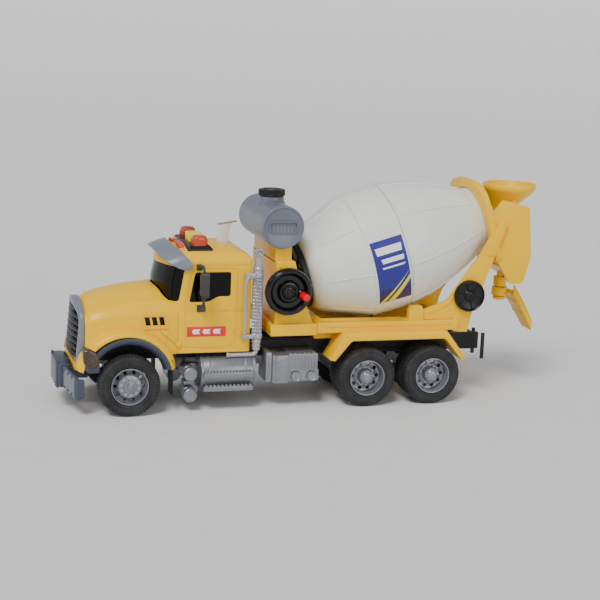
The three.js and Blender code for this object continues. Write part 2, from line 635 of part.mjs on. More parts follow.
function addMirrorsAndStack() {
  const head = prismZ([[91.5, 48.5, 1], [98, 48.5, 1], [98, 57, 2], [91.5, 57, 2]], 93.5, 113);
  const upper = box(94, 98.5, CAB_HALF_WIDTH + GAP, 42, 112, 117);
  const lower = box(90.5, 97.5, CAB_HALF_WIDTH + GAP, 42.5, 79.5, 85);
  const upperArm = bar([[96, 41, 115], [95.5, 46, 116.5], [95, 50.5, 115], [94.8, 52, 111]], 1.3, 6, 5);
  const lowerArm = bar([[94, 41, 82], [94.2, 45, 83.5], [94.5, 49, 87.5], [94.8, 51, 95]], 1.3, 6, 5);
  pair('mirror', union(head, upper, lower, upperArm, lowerArm), DARK_GREY);

  const [x, y] = [48.6, 38];
  const stack = union(
    rodZ(2.8, 108, 125.4, x, y, 10),
    rod(2.9, y - 3, y + 3.6, x, 125.4, 10),
    rodZ(4.2, 108.5, 114, x, y, 10),
    rodZ(3.8, 54, 109, x, y, 10),
    rodZ(3.2, 47.5, 54.5, x, y, 10),
    bar([[x, y, 49], [x, y, 46], [x + 1.5, y, 44.4], [x + 5, y, 44], [72, y, 44]], 1.9, 6, 8),
  );
  const mouth = rod(2, y + 1.5, y + 5, x, 125.4, 10);
  const handleX = 59.7;
  const handleY = 43.4;
  const handle = union(
    rodZ(1.4, 58, 108, handleX, handleY, 8),
    box(x - 2, handleX + 1.5, CAB_HALF_WIDTH + GAP + 0.2, handleY + 1.2, 105, 110),
    box(x - 2, handleX + 2.5, CAB_HALF_WIDTH + GAP + 0.2, handleY + 1.2, 57, 61),
  );
  piece('exhaust_stack', stack.add(handle).subtract(mouth), SILVER);
}

// ---- pedestal, water tank and crank -------------------------------------------------------
function addPedestal() {
  const body = [[34, 67], [1.8, 67], [9, 84.4], [18.7, 118], [34, 118]];
  const tower = [[34, 110], [20.5, 110], [20.5, 133], [34, 133]];
  const skirtX = DECK_X[1] + GAP;
  const skirt = [[DECK_FLANGE_X, 58.7], [skirtX, 58.7], [skirtX, 68], [DECK_FLANGE_X, 68]];
  const outer = union(prismY(body, -38, 38), prismY(tower, -33, 33), prismY(skirt, -DECK_Y, DECK_Y));
  const room = union(
    prismY(inset(body, WALL), -38 + WALL, 38 - WALL),
    prismY([[32, 105], [22.5, 105], [22.5, 125], [32, 125]], -33 + WALL, 33 - WALL),
    prismY([[32, 50], [3.8, 50], [3.8, 70], [32, 70]], -38 + WALL, 38 - WALL),
  );
  const saddle = rod(TANK_R + GAP, -50, 50, ...TANK_CENTRE, 32);
  const crankBore = rod(2.4, -50, 50, CRANK_X, CRANK_Z, 12);
  const driveBore = toDrumFrame(rodZ(3.5, -66, -50, 0, 0, 12));
  piece('pedestal', cut(outer, room, saddle, crankBore, driveBore), YELLOW);
}

function addWaterTank() {
  const [x, z] = TANK_CENTRE;
  const neckR = 10;
  const shell = rod(TANK_R, -TANK_HALF_LENGTH, TANK_HALF_LENGTH, x, z, 32);
  const neck = rodZ(neckR, z + 10, 165.2, x, 0, 20);
  const room = rod(TANK_R - WALL, -TANK_HALF_LENGTH + WALL, TANK_HALF_LENGTH - WALL, x, z, 20);
  const drain = rodZ(3, 120, 140, x, 0, 8);
  const throat = rodZ(neckR - WALL, z, 163.5, x, 0, 16);
  piece('water_tank', cut(union(shell, neck), room, throat, drain), BLUE_GREY);
  const cap = rodZ(10.8, 165.2 + GAP, 170.6, x, 0, 24).subtract(rodZ(8.8, 160, 168.6, x, 0, 16));
  piece('filler_cap', cap, BLACK);
}

function addCrank() {
  const group = new THREE.Group();
  group.position.set(CRANK_X, 0, CRANK_Z);
  truck.add(group);
  const [inner, outer] = HANDWHEEL_Y;
  const wheel = turned([
    [0, 45.5], [AXLE_R + GAP, 45.5], [AXLE_R + GAP, inner], [7.5, inner], [7.5, 43], [13, 43],
    [13, inner], [17.8, inner], [HANDWHEEL_R, inner + 2], [HANDWHEEL_R, outer - 2],
    [17.8, outer], [14.5, outer], [12.4, 45], [8, 45], [7.4, 47.6], [0, 47.6],
  ], 24);
  const [kx, kz] = [-11.8, -3.2];
  const boss = rod(4.4, 43, 45.6, kx, kz, 12);
  const pocket = rod(1.8, 42, 50, kx, kz, 10).add(rod(3.8, 45.6, 60, kx, kz, 12));
  piece('handwheel', wheel.add(boss).subtract(pocket), BLACK, group);
  const grip = rod(3.3, 45.9, 56.6, kx, kz, 12, 2.7).add(rod(1.4, 42.2, 46.5, kx, kz, 10));
  piece('crank_knob', grip, RED, group);
  const pinionRadius = (BEVEL_PINION_TEETH * GEAR_MODULE) / 2;
  const gearRadius = (BEVEL_GEAR_TEETH * GEAR_MODULE) / 2;
  const towardsDrum = Math.PI - DRUM_TILT;
  const gapFacesDrum = towardsDrum + Math.PI / BEVEL_PINION_TEETH;
  const cone = bevel(BEVEL_PINION_TEETH, pinionRadius, gearRadius, gapFacesDrum);
  const pinion = cone.rotate([90, 0, 0]).mirror([0, 1, 0]);
  const collar = rod(4, -41, -38 - GAP, 0, 0, 12);
  piece('crank_shaft', union(rod(AXLE_R, -39.8, 45.2, 0, 0, 12), collar, pinion), STEEL, group);
}

// Bevel gear about Z with its cone's tip at the origin and its wide end at the mate's radius.
function bevel(teeth, radius, mateRadius, toothAt) {
  const narrow = 0.62;
  const outline = gearOutline(teeth, radius, GEAR_MODULE * 0.7, toothAt);
  const ring = (scale) => outline.map(([a, b]) => [a * scale, b * scale, mateRadius * scale]);
  return loft([ring(narrow), ring(1)], [0, 1]);
}

// ---- drum ---------------------------------------------------------------------------------
// The drum's own frame has Z along its axis towards the mouth and its origin in the front seam.
const DRUM_ORIGIN = new THREE.Vector3(-41.9, 0, 114.8);
const DRUM_TURN = THREE.MathUtils.degToRad(90) - DRUM_TILT;
const CRANK_DISTANCE = Math.hypot(CRANK_X - DRUM_ORIGIN.x, CRANK_Z - DRUM_ORIGIN.z);

function toDrumFrame(body) {
  return body.rotate([0, -THREE.MathUtils.radToDeg(DRUM_TURN), 0]).translate(DRUM_ORIGIN.toArray());
}

function addDrum() {
  const group = new THREE.Group();
  group.position.copy(DRUM_ORIGIN);
  group.rotation.y = -DRUM_TURN;
  truck.add(group);
  const split = 30.5;
  const front = [[27, -46], [31, -44], [36, -38.5], [51.8, 0]];
  const rear = [[48, 58], [41, 78], [31, 100], [NECK_R, 105], [NECK_R, 118]];
  const seam = split - GAP;
  const bead = [[DRUM_MAX_R, seam - 0.8], [DRUM_MAX_R + 0.7, seam]];
  const inner = (points) => points.map(([r, z]) => [r - DRUM_WALL, z]).reverse();
  const frontShell = turned([
    [0, -46], ...front, ...bead, ...inner([...front.slice(1), [DRUM_MAX_R, seam]]),
    [28, -44.4], [0, -44.4],
  ], DRUM_SIDES);
  const rearShell = turned([
    [DRUM_MAX_R + 0.7, split], [DRUM_MAX_R, split + 0.8], ...rear,
    ...inner([[DRUM_MAX_R, split], ...rear]),
  ], DRUM_SIDES);
  piece('drum_front_shell', frontShell.rotate([90, 0, 0]), CREAM, group);
  piece('drum_rear_shell', rearShell.rotate([90, 0, 0]), CREAM, group);
  const gearRadius = (BEVEL_GEAR_TEETH * GEAR_MODULE) / 2;
  const pinionRadius = (BEVEL_PINION_TEETH * GEAR_MODULE) / 2;
  const cone = bevel(BEVEL_GEAR_TEETH, gearRadius, pinionRadius, Math.PI / 2);
  const gear = cone.translate(0, 0, -CRANK_DISTANCE);
  const wide = pinionRadius - CRANK_DISTANCE;
  const hub = rodZ(29, -51, -46 - GAP, 0, 0, 24);
  const drive = union(gear, rodZ(3, wide - 0.5, -50, 0, 0, 12), hub);
  piece('drum_drive', drive, BLACK, group);
}

// ---- deck and rear frame ------------------------------------------------------------------
function addDeck() {
  const [rear, front] = DECK_X;
  const [low, high] = DECK_Z;
  const slab = box(rear, front, -DECK_Y, DECK_Y, low, high);
  const frame = slab.subtract(box(rear + 6, front - 8, -24, 24, 50, 80));
  const sills = box(rear + 2, front - 2, 20, 27, RAIL_Z[1] + GAP, low + 0.5);
  const stops = prismY([
    [-79.5, 68], [-92, 68], [-92, 76], [-90, 80], [-81.5, 80], [-79.5, 76],
  ], 31, 38.5);
  const fender = prismY([
    [-9.5, 39.8], [-21.5, 60.8, 2], [-109, 60.8, 2], [-126.5, 38], [-122.6, 36.2],
    [-107.5, 54.8, 2], [-27.5, 54.8, 2], [-14, 38.6],
  ], 28, 50.3);
  piece('deck_frame', union(frame, bothSides(union(sills, stops, fender))), YELLOW);
}

function addRearFrame() {
  const [kx, kz] = KNOB_CENTRE;
  const bracket = prismY([
    [-92 - GAP, 69 - GAP], [-92 - GAP, 76.4], [-112.5, 83.5], [-139.9, 122], [-155, 148], [-162, 148],
    [-152.4, 121.5], [-138.8, 85.5], [-133.7, 71.3], [-131, 57.4], [-121.5, 57.4], [-121.5, 69 - GAP],
  ], 33.5, 38);
  const foot = box(-131, -121.5, 18, 36, 57.4, 60.5);
  const cheek = prismY([
    [-147, 152], [-158, 166], [-182, 160], [-186, 118], [-180, 96], [-168, 96], [-148, 128],
  ], 30.5, 34.5);
  const collarOutline = [
    [-32, -38, 6], [26, -38, 10], [35, -22, 10], [35, 22, 10], [26, 38, 10], [-32, 38, 6],
  ];
  const collar = prismZ(collarOutline, 108, 113);
  const neckSpace = toDrumFrame(rodZ(NECK_R + 0.9, 100, 122, 0, 0, DRUM_SIDES));
  const frame = union(bothSides(union(bracket, foot, cheek)), toDrumFrame(collar));
  const pins = rod(2.4, -60, 60, kx, kz, 12);
  piece('rear_frame', cut(frame, neckSpace, pins), YELLOW);
  const disc = turned([
    [0, 32], [2, 32], [2, 38 + GAP], [12.2, 38 + GAP], [13, 39.2], [13, 42], [12, 43],
    [11, 41.6], [4, 40.6], [3.4, 41.6], [0, 41.8],
  ]).translate(kx, 0, kz);
  pair('side_disc', disc, BLACK);
}

function funnel(thickness) {
  const ring = (x, z, radius) => Array.from({ length: 24 }, (_, i) => {
    const angle = (2 * Math.PI * i) / 24;
    return [x + (radius - thickness) * Math.cos(angle), (radius - thickness) * Math.sin(angle), z];
  });
  const end = thickness > 0 ? 1 : 0;
  return loft([
    ring(-166, 144 - end, 8), ring(-170, 153, 9.5), ring(-177, 168, 20.5), ring(-178, 176 + end, 22),
  ], [0, 1]);
}

function channel(sections, thickness) {
  return loft(sections.map(([x, z, half, height]) => [
    [x, half, z + height], [x, half, z], [x, -half, z], [x, -half, z + height],
    [x, -half + 1.8, z + height], [x, -half + 1.8, z + thickness], [x, half - 1.8, z + thickness],
    [x, half - 1.8, z + height],
  ]));
}

function addChutes() {
  const ears = bothSides(box(-177, -169, 8, 30.2, 153, 159));
  piece('hopper', union(funnel(0), ears).subtract(funnel(WALL)), YELLOW);
  const px = CHUTE_PIVOT_X;
  const trough = channel([[-164, 108, 27, 13], [-172, 101, 19, 14], [-184, 93.5, 12, 12]], 2.2);
  const pin = union(rodZ(3, 78, 102, px, 0, 12), rodZ(5.2, 76.4, 79, px, 0, 12));
  const lugs = bothSides(box(-176, -169, 17, 30.2, 104, 108));
  piece('discharge_trough', union(trough, pin, lugs), YELLOW);
  const chute = union(
    rodZ(6.6, 80, 87, px, 0, 16),
    box(-186, px, -4.5, 4.5, 81.5, 84.5),
    channel([[-182.5, 82, 13, 9], [-190, 71, 12, 9], [-203, 50, 10, 9]], 3),
  );
  const pinBore = rodZ(3.4, 60, 110, px, 0, 16);
  const shoulder = rodZ(7.6, 84.8, 110, px, 0, 16).subtract(rodZ(6.6, 60, 110, px, 0, 16));
  piece('swing_chute', cut(chute, pinBore, shoulder), YELLOW);
}

addWheels();
addFlywheel();
addChassis();
addBumper();
addSideTanks();
addCab();
addFront();
addRoofGear();
addMirrorsAndStack();
addPedestal();
addWaterTank();
addCrank();
addDrum();
addDeck();
addRearFrame();
addChutes();

export default truck;
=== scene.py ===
import json
import math

import bmesh
import bpy
from mathutils import Matrix, Vector


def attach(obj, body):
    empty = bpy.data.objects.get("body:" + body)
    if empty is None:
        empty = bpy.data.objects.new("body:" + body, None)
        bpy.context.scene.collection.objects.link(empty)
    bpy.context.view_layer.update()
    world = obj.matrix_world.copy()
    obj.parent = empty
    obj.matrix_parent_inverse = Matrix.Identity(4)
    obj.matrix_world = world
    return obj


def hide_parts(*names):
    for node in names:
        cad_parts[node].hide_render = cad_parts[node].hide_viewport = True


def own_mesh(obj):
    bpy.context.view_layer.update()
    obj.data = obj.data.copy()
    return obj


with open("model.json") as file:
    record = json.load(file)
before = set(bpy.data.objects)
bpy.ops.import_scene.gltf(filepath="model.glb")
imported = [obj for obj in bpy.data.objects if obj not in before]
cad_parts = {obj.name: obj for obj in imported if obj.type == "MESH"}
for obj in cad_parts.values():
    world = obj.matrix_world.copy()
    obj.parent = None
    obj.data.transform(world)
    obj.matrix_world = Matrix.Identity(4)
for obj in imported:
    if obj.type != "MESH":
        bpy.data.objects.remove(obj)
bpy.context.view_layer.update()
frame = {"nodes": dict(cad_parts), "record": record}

BODIES = frame["record"]["behaviour"]["bodies"]
BODY_OF = {node: body for body, nodes in BODIES.items() for node in nodes}
MM = 0.001
SHARP_DEGREES = 32
WELD_DISTANCE = 1e-4
SMALLEST_RADIUS = 0.02
CORNER_SHARE = 0.48

# ---- driving dimensions, in millimetres and in the model's frame --------------------------
TYRE_R = 24
AXLE_Z = 24
FRONT_AXLE_X = 150.5
REAR_AXLE_X = {"1": -42.0, "2": -98.0}
DRUM_TILT = math.radians(16.2)
DRUM_ORIGIN = Vector((-41.9, 0, 114.8))
DRUM_AXIS = Vector((-math.cos(DRUM_TILT), 0, math.sin(DRUM_TILT)))
CRANK = (25.5, 95.2)
TANK = (29.6, 145.0)
DISC = (-130.0, 88.0)
ARCH = (150.5, 27.0)
CHUTE_PIVOT_X = -175.0
GEAR_MODULE = 0.8
DRUM_GEAR_TEETH, CRANK_GEAR_TEETH = 18, 12

# ---- mesh helpers --------------------------------------------------------------------------


def rounded(points, steps=5):
    """Outline with each corner (a, b, radius) rounded."""
    out = []
    count = len(points)
    for i, point in enumerate(points):
        corner = Vector(point[:2])
        if len(point) < 3:
            out.append(tuple(corner))
            continue
        radius = max(point[2], SMALLEST_RADIUS)
        before = Vector(points[i - 1][:2]) - corner
        after = Vector(points[(i + 1) % count][:2]) - corner
        start = corner + before.normalized() * min(radius, before.length * CORNER_SHARE)
        end = corner + after.normalized() * min(radius, after.length * CORNER_SHARE)
        for k in range(steps + 1):
            t = k / steps
            out.append(tuple(start * (1 - t) ** 2 + corner * 2 * t * (1 - t) + end * t * t))
    return out


def rect(a0, a1, b0, b1, *radius):
    """Rectangular outline, sharp or with one corner radius."""
    return [(a0, b0, *radius), (a1, b0, *radius), (a1, b1, *radius), (a0, b1, *radius)]


def span(sign, a, b):
    """Low and high end of a range that is mirrored when sign is -1."""
    return sorted((sign * a, sign * b))


def symmetric(half):
    """Outline from its half with a > 0, given from the bottom up to the middle line."""
    return list(half) + [(-p[0], *p[1:]) for p in reversed(half) if p[0] > 0]


def inset(points, distance):
    """Every edge of an outline moved inward."""
    count = len(points)
    area = sum(points[i - 1][0] * points[i][1] - points[i][0] * points[i - 1][1] for i in range(count))
    side = 1 if area > 0 else -1
    out = []
    for i, point in enumerate(points):
        corner = Vector(point[:2])
        before = (corner - Vector(points[i - 1][:2])).normalized()
        after = (Vector(points[(i + 1) % count][:2]) - corner).normalized()
        n_before = Vector((-before.y, before.x)) * side
        n_after = Vector((-after.y, after.x)) * side
        middle = (n_before + n_after).normalized()
        moved = corner + middle * (distance / max(middle.dot(n_before), 0.3))
        radius = max(point[2] - distance, 0) if len(point) > 2 else 0
        out.append((moved.x, moved.y, radius))
    return out


def spline(points, steps):
    """Smooth Catmull-Rom route through points."""
    pts = [Vector(p) for p in points]
    pts = [pts[0] * 2 - pts[1]] + pts + [pts[-1] * 2 - pts[-2]]
    out = []
    for i in range(1, len(pts) - 2):
        p0, p1, p2, p3 = pts[i - 1:i + 3]
        for k in range(steps):
            t = k / steps
            out.append(0.5 * ((2 * p1) + (p2 - p0) * t + (2 * p0 - 5 * p1 + 4 * p2 - p3) * t * t
                              + (3 * p1 - p0 - 3 * p2 + p3) * t ** 3))
    out.append(pts[-2])
    return out


def along(route, at):
    """Value at a place on a broken line of (place, value) points."""
    for (a, value_a), (b, value_b) in zip(route, route[1:]):
        if at <= b:
            return value_a + (value_b - value_a) * max(at - a, 0) / (b - a)
    return route[-1][1]


AXIS_MAPS = {
    "X": lambda a, b, h: (h, a, b),
    "Y": lambda a, b, h: (a, h, b),
    "Z": lambda a, b, h: (a, b, h),
}


class Shape:
    """Closed shells, in millimetres, that make one piece."""

    def __init__(self, mirror=False, matrix=None):
        self.bm = bmesh.new()
        self.mirror = mirror
        self.matrix = matrix or Matrix.Identity(4)

    def add(self, verts, faces, bevel=0, segments=2, angle=SHARP_DEGREES, slot=0):
        shell = bmesh.new()
        made = [shell.verts.new(self.matrix @ Vector(v)) for v in verts]
        for face in faces:
            if len(set(face)) > 2:
                shell.faces.new([made[i] for i in face])
        bmesh.ops.remove_doubles(shell, verts=shell.verts, dist=WELD_DISTANCE)
        bmesh.ops.recalc_face_normals(shell, faces=shell.faces)
        if bevel:
            limit = math.radians(angle)
            sharp = [e for e in shell.edges if len(e.link_faces) == 2 and e.calc_face_angle(0) > limit]
            bmesh.ops.bevel(shell, geom=sharp, offset=bevel, segments=segments, profile=0.5,
                            affect="EDGES", clamp_overlap=True)
        for face in shell.faces:
            face.material_index = slot
        if self.mirror:
            for v in shell.verts:
                v.co.y = -v.co.y
            bmesh.ops.reverse_faces(shell, faces=shell.faces)
        mesh = bpy.data.meshes.new("shell")
        shell.to_mesh(mesh)
        shell.free()
        self.bm.from_mesh(mesh)
        bpy.data.meshes.remove(mesh)
        return self

    def join(self, other):
        """Takes over the shells of another shape."""
        mesh = bpy.data.meshes.new("joined")
        other.bm.to_mesh(mesh)
        other.bm.free()
        self.bm.from_mesh(mesh)
        bpy.data.meshes.remove(mesh)

    def prism(self, points, low, high, axis="Y", **options):
        place = AXIS_MAPS[axis]
        outline = rounded(points, options.pop("steps", 5))
        n = len(outline)
        verts = [place(a, b, low) for a, b in outline] + [place(a, b, high) for a, b in outline]
        faces = [tuple(range(n)), tuple(range(2 * n - 1, n - 1, -1))]
        faces += [(i, (i + 1) % n, (i + 1) % n + n, i + n) for i in range(n)]
        return self.add(verts, faces, **options)

    def box(self, x0, x1, y0, y1, z0, z1, bevel=0.4, **options):
        return self.prism(rect(x0, x1, z0, z1), y0, y1, bevel=bevel, **options)

    def lathe(self, profile, centre=(0, 0, 0), axis="Y", steps=48, loop=True, wave=None,
              arc=(0, math.tau), **options):
        """Turned shell from a (radius, height) profile."""
        place = AXIS_MAPS[axis]
        full = abs(arc[1] - arc[0] - math.tau) < 1e-6
        rings = steps if full else steps + 1
        verts = []
        for i in range(rings):
            angle = arc[0] + (arc[1] - arc[0]) * i / steps
            for j, (r, h) in enumerate(profile):
                if wave:
                    r, h = wave(angle, j, r, h)
                verts.append(Vector(place(r * math.cos(angle), r * math.sin(angle),
                                          h)) + Vector(centre))
        m = len(profile)
        spans = m if loop else m - 1
        faces = []
        for i in range(steps):
            k = (i + 1) % rings
            for j in range(spans):
                q = (j + 1) % m
                faces.append((i * m + j, i * m + q, k * m + q, k * m + j))
        if not full:
            faces += [tuple(range(m)), tuple(range((rings - 1) * m, rings * m))]
        return self.add(verts, faces, **options)

    def disc(self, radius, low, high, centre=(0, 0, 0), axis="Y", edge=0.4, steps=32, **options):
        """Round bar with softened edges."""
        e = min(edge, abs(high - low) / 2.2, radius / 2.2)
        profile = [(0, low), (radius - e, low), (radius - e * 0.3, low + e * 0.3),
                   (radius, low + e),
                   (radius, high - e), (radius - e * 0.3, high - e * 0.3), (radius - e, high),
                   (0, high)]
        return self.lathe(profile, centre, axis, steps, loop=False, **options)

    def tube(self, route, radius, sides=16, steps=8, **options):
        """Round bar along a smooth route, with domed ends."""
        path = spline(route, steps)
        count = len(path)
        tangents = [(path[min(i + 1, count - 1)] - path[max(i - 1,
                                                            0)]).normalized() for i in range(count)]
        normal = tangents[0].orthogonal().normalized()
        verts = []
        for i in range(count):
            normal = (normal - tangents[i] * normal.dot(tangents[i])).normalized()
            other = tangents[i].cross(normal)
            reach = radius[min(i, len(radius) - 1)] if isinstance(radius, (list, tuple)) else radius
            for k in range(sides):
                a = math.tau * k / sides
                verts.append(path[i] + (normal * math.cos(a) + other * math.sin(a)) * reach)
        faces = []
        for i in range(count - 1):
            for k in range(sides):
                q = (k + 1) % sides
                faces.append((i * sides + k, i * sides + q, (i + 1) * sides + q,
                              (i + 1) * sides + k))
        faces += [tuple(range(sides)), tuple(range((count - 1) * sides, count * sides))]
        return self.add(verts, faces, bevel=options.pop("bevel", 0.25), angle=60, **options)

    def loft(self, rings, caps=True, **options):
        """Skin through rings of equal point counts."""
        n = len(rings[0])
        verts = [p for ring in rings for p in ring]
        faces = []
        for i in range(len(rings) - 1):
            for k in range(n):
                q = (k + 1) % n
                faces.append((i * n + k, i * n + q, (i + 1) * n + q, (i + 1) * n + k))
        if caps:
            faces += [tuple(range(n)), tuple(range((len(rings) - 1) * n, len(rings) * n))]
        return self.add(verts, faces, **options)

    def sheet(self, rows, thickness, **options):
        """Closed shell of one thickness from a grid of points, thickened along its normals."""
        height, width = len(rows), len(rows[0])
        grid = [[Vector(p) for p in row] for row in rows]
        back = []
        for i in range(height):
            row = []
            for j in range(width):
                du = grid[i][min(j + 1, width - 1)] - grid[i][max(j - 1, 0)]
                dv = grid[min(i + 1, height - 1)][j] - grid[max(i - 1, 0)][j]
                row.append(grid[i][j] - du.cross(dv).normalized() * thickness)
            back.append(row)
        verts = [p for row in grid for p in row] + [p for row in back for p in row]
        size = height * width
        faces = []
        for i in range(height - 1):
            for j in range(width - 1):
                a, b = i * width + j, i * width + j + 1
                c, d = b + width, a + width
                faces += [(a, b, c, d), (a + size, d + size, c + size, b + size)]
        rim = [(0, j) for j in range(width)] + [(i, width - 1) for i in range(1, height)]
        rim += [(height - 1, j) for j in range(width - 2, -1, -1)] + [(i,
                                                                       0) for i in range(height - 2,
                                                                                         0, -1)]
        rim = [i * width + j for i, j in rim]
        for k, a in enumerate(rim):
            b = rim[(k + 1) % len(rim)]
            faces.append((a, a + size, b + size, b))
        return self.add(verts, faces, **options)


def turn_to(origin, direction, up=(0, 1, 0)):
    """Matrix that puts local Z along direction, at origin."""
    z = Vector(direction).normalized()
    y = (Vector(up) - z * Vector(up).dot(z)).normalized()
    x = y.cross(z)
    turn = Matrix((x, y, z)).transposed().to_4x4()
    return Matrix.Translation(Vector(origin)) @ turn


def temporary(shape):
    """Plain object in millimetres scaled to metres, not yet a piece."""
    mesh = bpy.data.meshes.new("temporary")
    shape.bm.to_mesh(mesh)
    shape.bm.free()
    mesh.transform(Matrix.Scale(MM, 4))
    obj = bpy.data.objects.new("temporary", mesh)
    bpy.context.scene.collection.objects.link(obj)
    return obj


def applied(obj):
    """Replaces an object's mesh by its evaluated one."""
    graph = bpy.context.evaluated_depsgraph_get()
    mesh = bpy.data.meshes.new_from_object(obj.evaluated_get(graph))
    old = obj.data
    obj.modifiers.clear()
    obj.data = mesh
    bpy.data.meshes.remove(old)
    return obj


def carved(obj, *cutters):
    """Boolean difference with each cutter shape, used up in the cut."""
    tools = [temporary(c) for c in cutters]
    for tool in tools:
        modifier = obj.modifiers.new("cut", "BOOLEAN")
        modifier.operation = "DIFFERENCE"
        modifier.solver = "EXACT"
        modifier.object = tool
    applied(obj)
    for tool in tools:
        mesh = tool.data
        bpy.data.objects.remove(tool)
        bpy.data.meshes.remove(mesh)
    return obj


def softened(obj, width, segments=2, angle=40):
    """Small bevel, in millimetres, on the edges left by cuts."""
    modifier = obj.modifiers.new("soft", "BEVEL")
    modifier.width = width * MM
    modifier.segments = segments
    modifier.limit_method = "ANGLE"
    modifier.angle_limit = math.radians(angle)
    modifier.use_clamp_overlap = True
    return applied(obj)


def reopened(obj, mirror=False):
    """Shape in millimetres from a cut object, which it uses up."""
    shape = Shape(mirror)
    mesh = obj.data
    mesh.transform(Matrix.Diagonal((1 / MM, (-1 if mirror else 1) / MM, 1 / MM, 1)))
    if mirror:
        mesh.flip_normals()
    shape.bm.from_mesh(mesh)
    bpy.data.objects.remove(obj)
    bpy.data.meshes.remove(mesh)
    return shape


def finished(obj, name, materials, angle):
    """Names an object and gives it its looks."""
    if isinstance(obj, Shape):
        obj = temporary(obj)
    obj.name = name
    obj.data.name = name
    for material in materials if isinstance(materials, (list, tuple)) else [materials]:
        obj.data.materials.append(material)
    obj.data.shade_smooth()
    obj.data.set_sharp_from_angle(angle=math.radians(angle))
    return obj


def piece(obj, name, nodes, materials, angle=SHARP_DEGREES):
    """Finished piece that stands for one or more CAD nodes."""
    obj = finished(obj, name, materials, angle)
    nodes = [nodes] if isinstance(nodes, str) else list(nodes)
    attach(obj, BODY_OF[nodes[0]])
    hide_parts(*nodes)
    return obj


def extra(obj, name, body, material, angle=SHARP_DEGREES):
    """Finished piece that stands for no CAD node of its own."""
    obj = finished(obj, name, material, angle)
    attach(obj, body)
    return obj


SIDES = (("left", False), ("right", True))

# ---- materials -----------------------------------------------------------------------------


def linear(rgb):
    """Linear light from display colour."""
    return [c / 12.92 if c <= 0.04045 else ((c + 0.055) / 1.055) ** 2.4 for c in rgb]


class Nodes:
    """Short way to build a material's node tree."""

    def __init__(self, name):
        self.material = bpy.data.materials.new(name)
        self.material.use_nodes = True
        self.tree = self.material.node_tree
        self.shader = self.tree.nodes["Principled BSDF"]
        self.coords = self.node("ShaderNodeTexCoord").outputs["Object"]

    def node(self, kind, **settings):
        made = self.tree.nodes.new(kind)
        for key, value in settings.items():
            setattr(made, key, value)
        return made

    def link(self, source, target):
        self.tree.links.new(source, target)

    def noise(self, scale, detail=3, roughness=0.55, vector=None):
        made = self.node("ShaderNodeTexNoise")
        made.inputs["Scale"].default_value = scale
        made.inputs["Detail"].default_value = detail
        made.inputs["Roughness"].default_value = roughness
        self.link(vector or self.coords, made.inputs["Vector"])
        return made.outputs["Fac"]

    def spread(self, value, low, high, start=0.3, end=0.7):
        made = self.node("ShaderNodeMapRange")
        for socket, number in zip(("From Min", "From Max", "To Min", "To Max"), (start, end, low,
                                                                                 high)):
            made.inputs[socket].default_value = number
        self.link(value, made.inputs["Value"])
        return made.outputs["Result"]

    def mix(self, value, dark, light):
        made = self.node("ShaderNodeMix", data_type="RGBA")
        made.inputs["A"].default_value = (*linear(dark), 1)
        made.inputs["B"].default_value = (*linear(light), 1)
        self.link(value, made.inputs["Factor"])
        return made.outputs["Result"]

    def math(self, operation, a, b=None, c=None):
        made = self.node("ShaderNodeMath", operation=operation)
        for socket, value in zip(made.inputs, (a, b, c)):
            if value is None:
                continue
            if isinstance(value, (int, float)):
                socket.default_value = value
            else:
                self.link(value, socket)
        return made.outputs["Value"]

    def bump(self, height, strength, distance):
        made = self.node("ShaderNodeBump")
        made.inputs["Strength"].default_value = strength
        made.inputs["Distance"].default_value = distance
        self.link(height, made.inputs["Height"])
        return made

    def set(self, **values):
        for key, value in values.items():
            self.shader.inputs[key.replace("_", " ")].default_value = value


def plastic(name, color, shift=0.05, rough=(0.26, 0.36), grain=0.12, metal=0.0, coat=0.0,
            specular=0.5):
    """Moulded plastic: slow colour flow, gloss that varies with handling, fine mould texture."""
    n = Nodes(name)
    dark = [max(c * (1 - shift), 0) for c in color]
    light = [min(c * (1 + shift * 0.6), 1) for c in color]
    flow = n.noise(28, 4)
    n.link(n.mix(n.spread(flow, 0, 1), dark, light), n.shader.inputs["Base Color"])
    smear = n.noise(75, 5, 0.65)
    n.link(n.spread(smear, *rough), n.shader.inputs["Roughness"])
    peel = n.noise(900, 2)
    pores = n.noise(5200, 2)
    height = n.math("ADD", n.math("MULTIPLY", peel, 0.7), n.math("MULTIPLY", pores, 0.3))
    n.link(n.bump(height, grain, 0.0002).outputs["Normal"], n.shader.inputs["Normal"])
    n.set(Metallic=metal, Coat_Weight=coat, Coat_Roughness=0.08, Specular_IOR_Level=specular)
    return n.material


def rubber():
    """Dusty soft vinyl."""
    n = Nodes("tyre_vinyl")
    dust = n.spread(n.noise(60, 6, 0.7), 0, 1, 0.42, 0.75)
    n.link(n.mix(dust, (0.15, 0.15, 0.155), (0.235, 0.235, 0.24)), n.shader.inputs["Base Color"])
    n.link(n.spread(n.noise(140, 4), 0.56, 0.78), n.shader.inputs["Roughness"])
    grain = n.math("ADD", n.noise(2600, 3), n.noise(420, 3))
    n.link(n.bump(grain, 0.25, 0.00025).outputs["Normal"], n.shader.inputs["Normal"])
    n.set(Specular_IOR_Level=0.35)
    return n.material


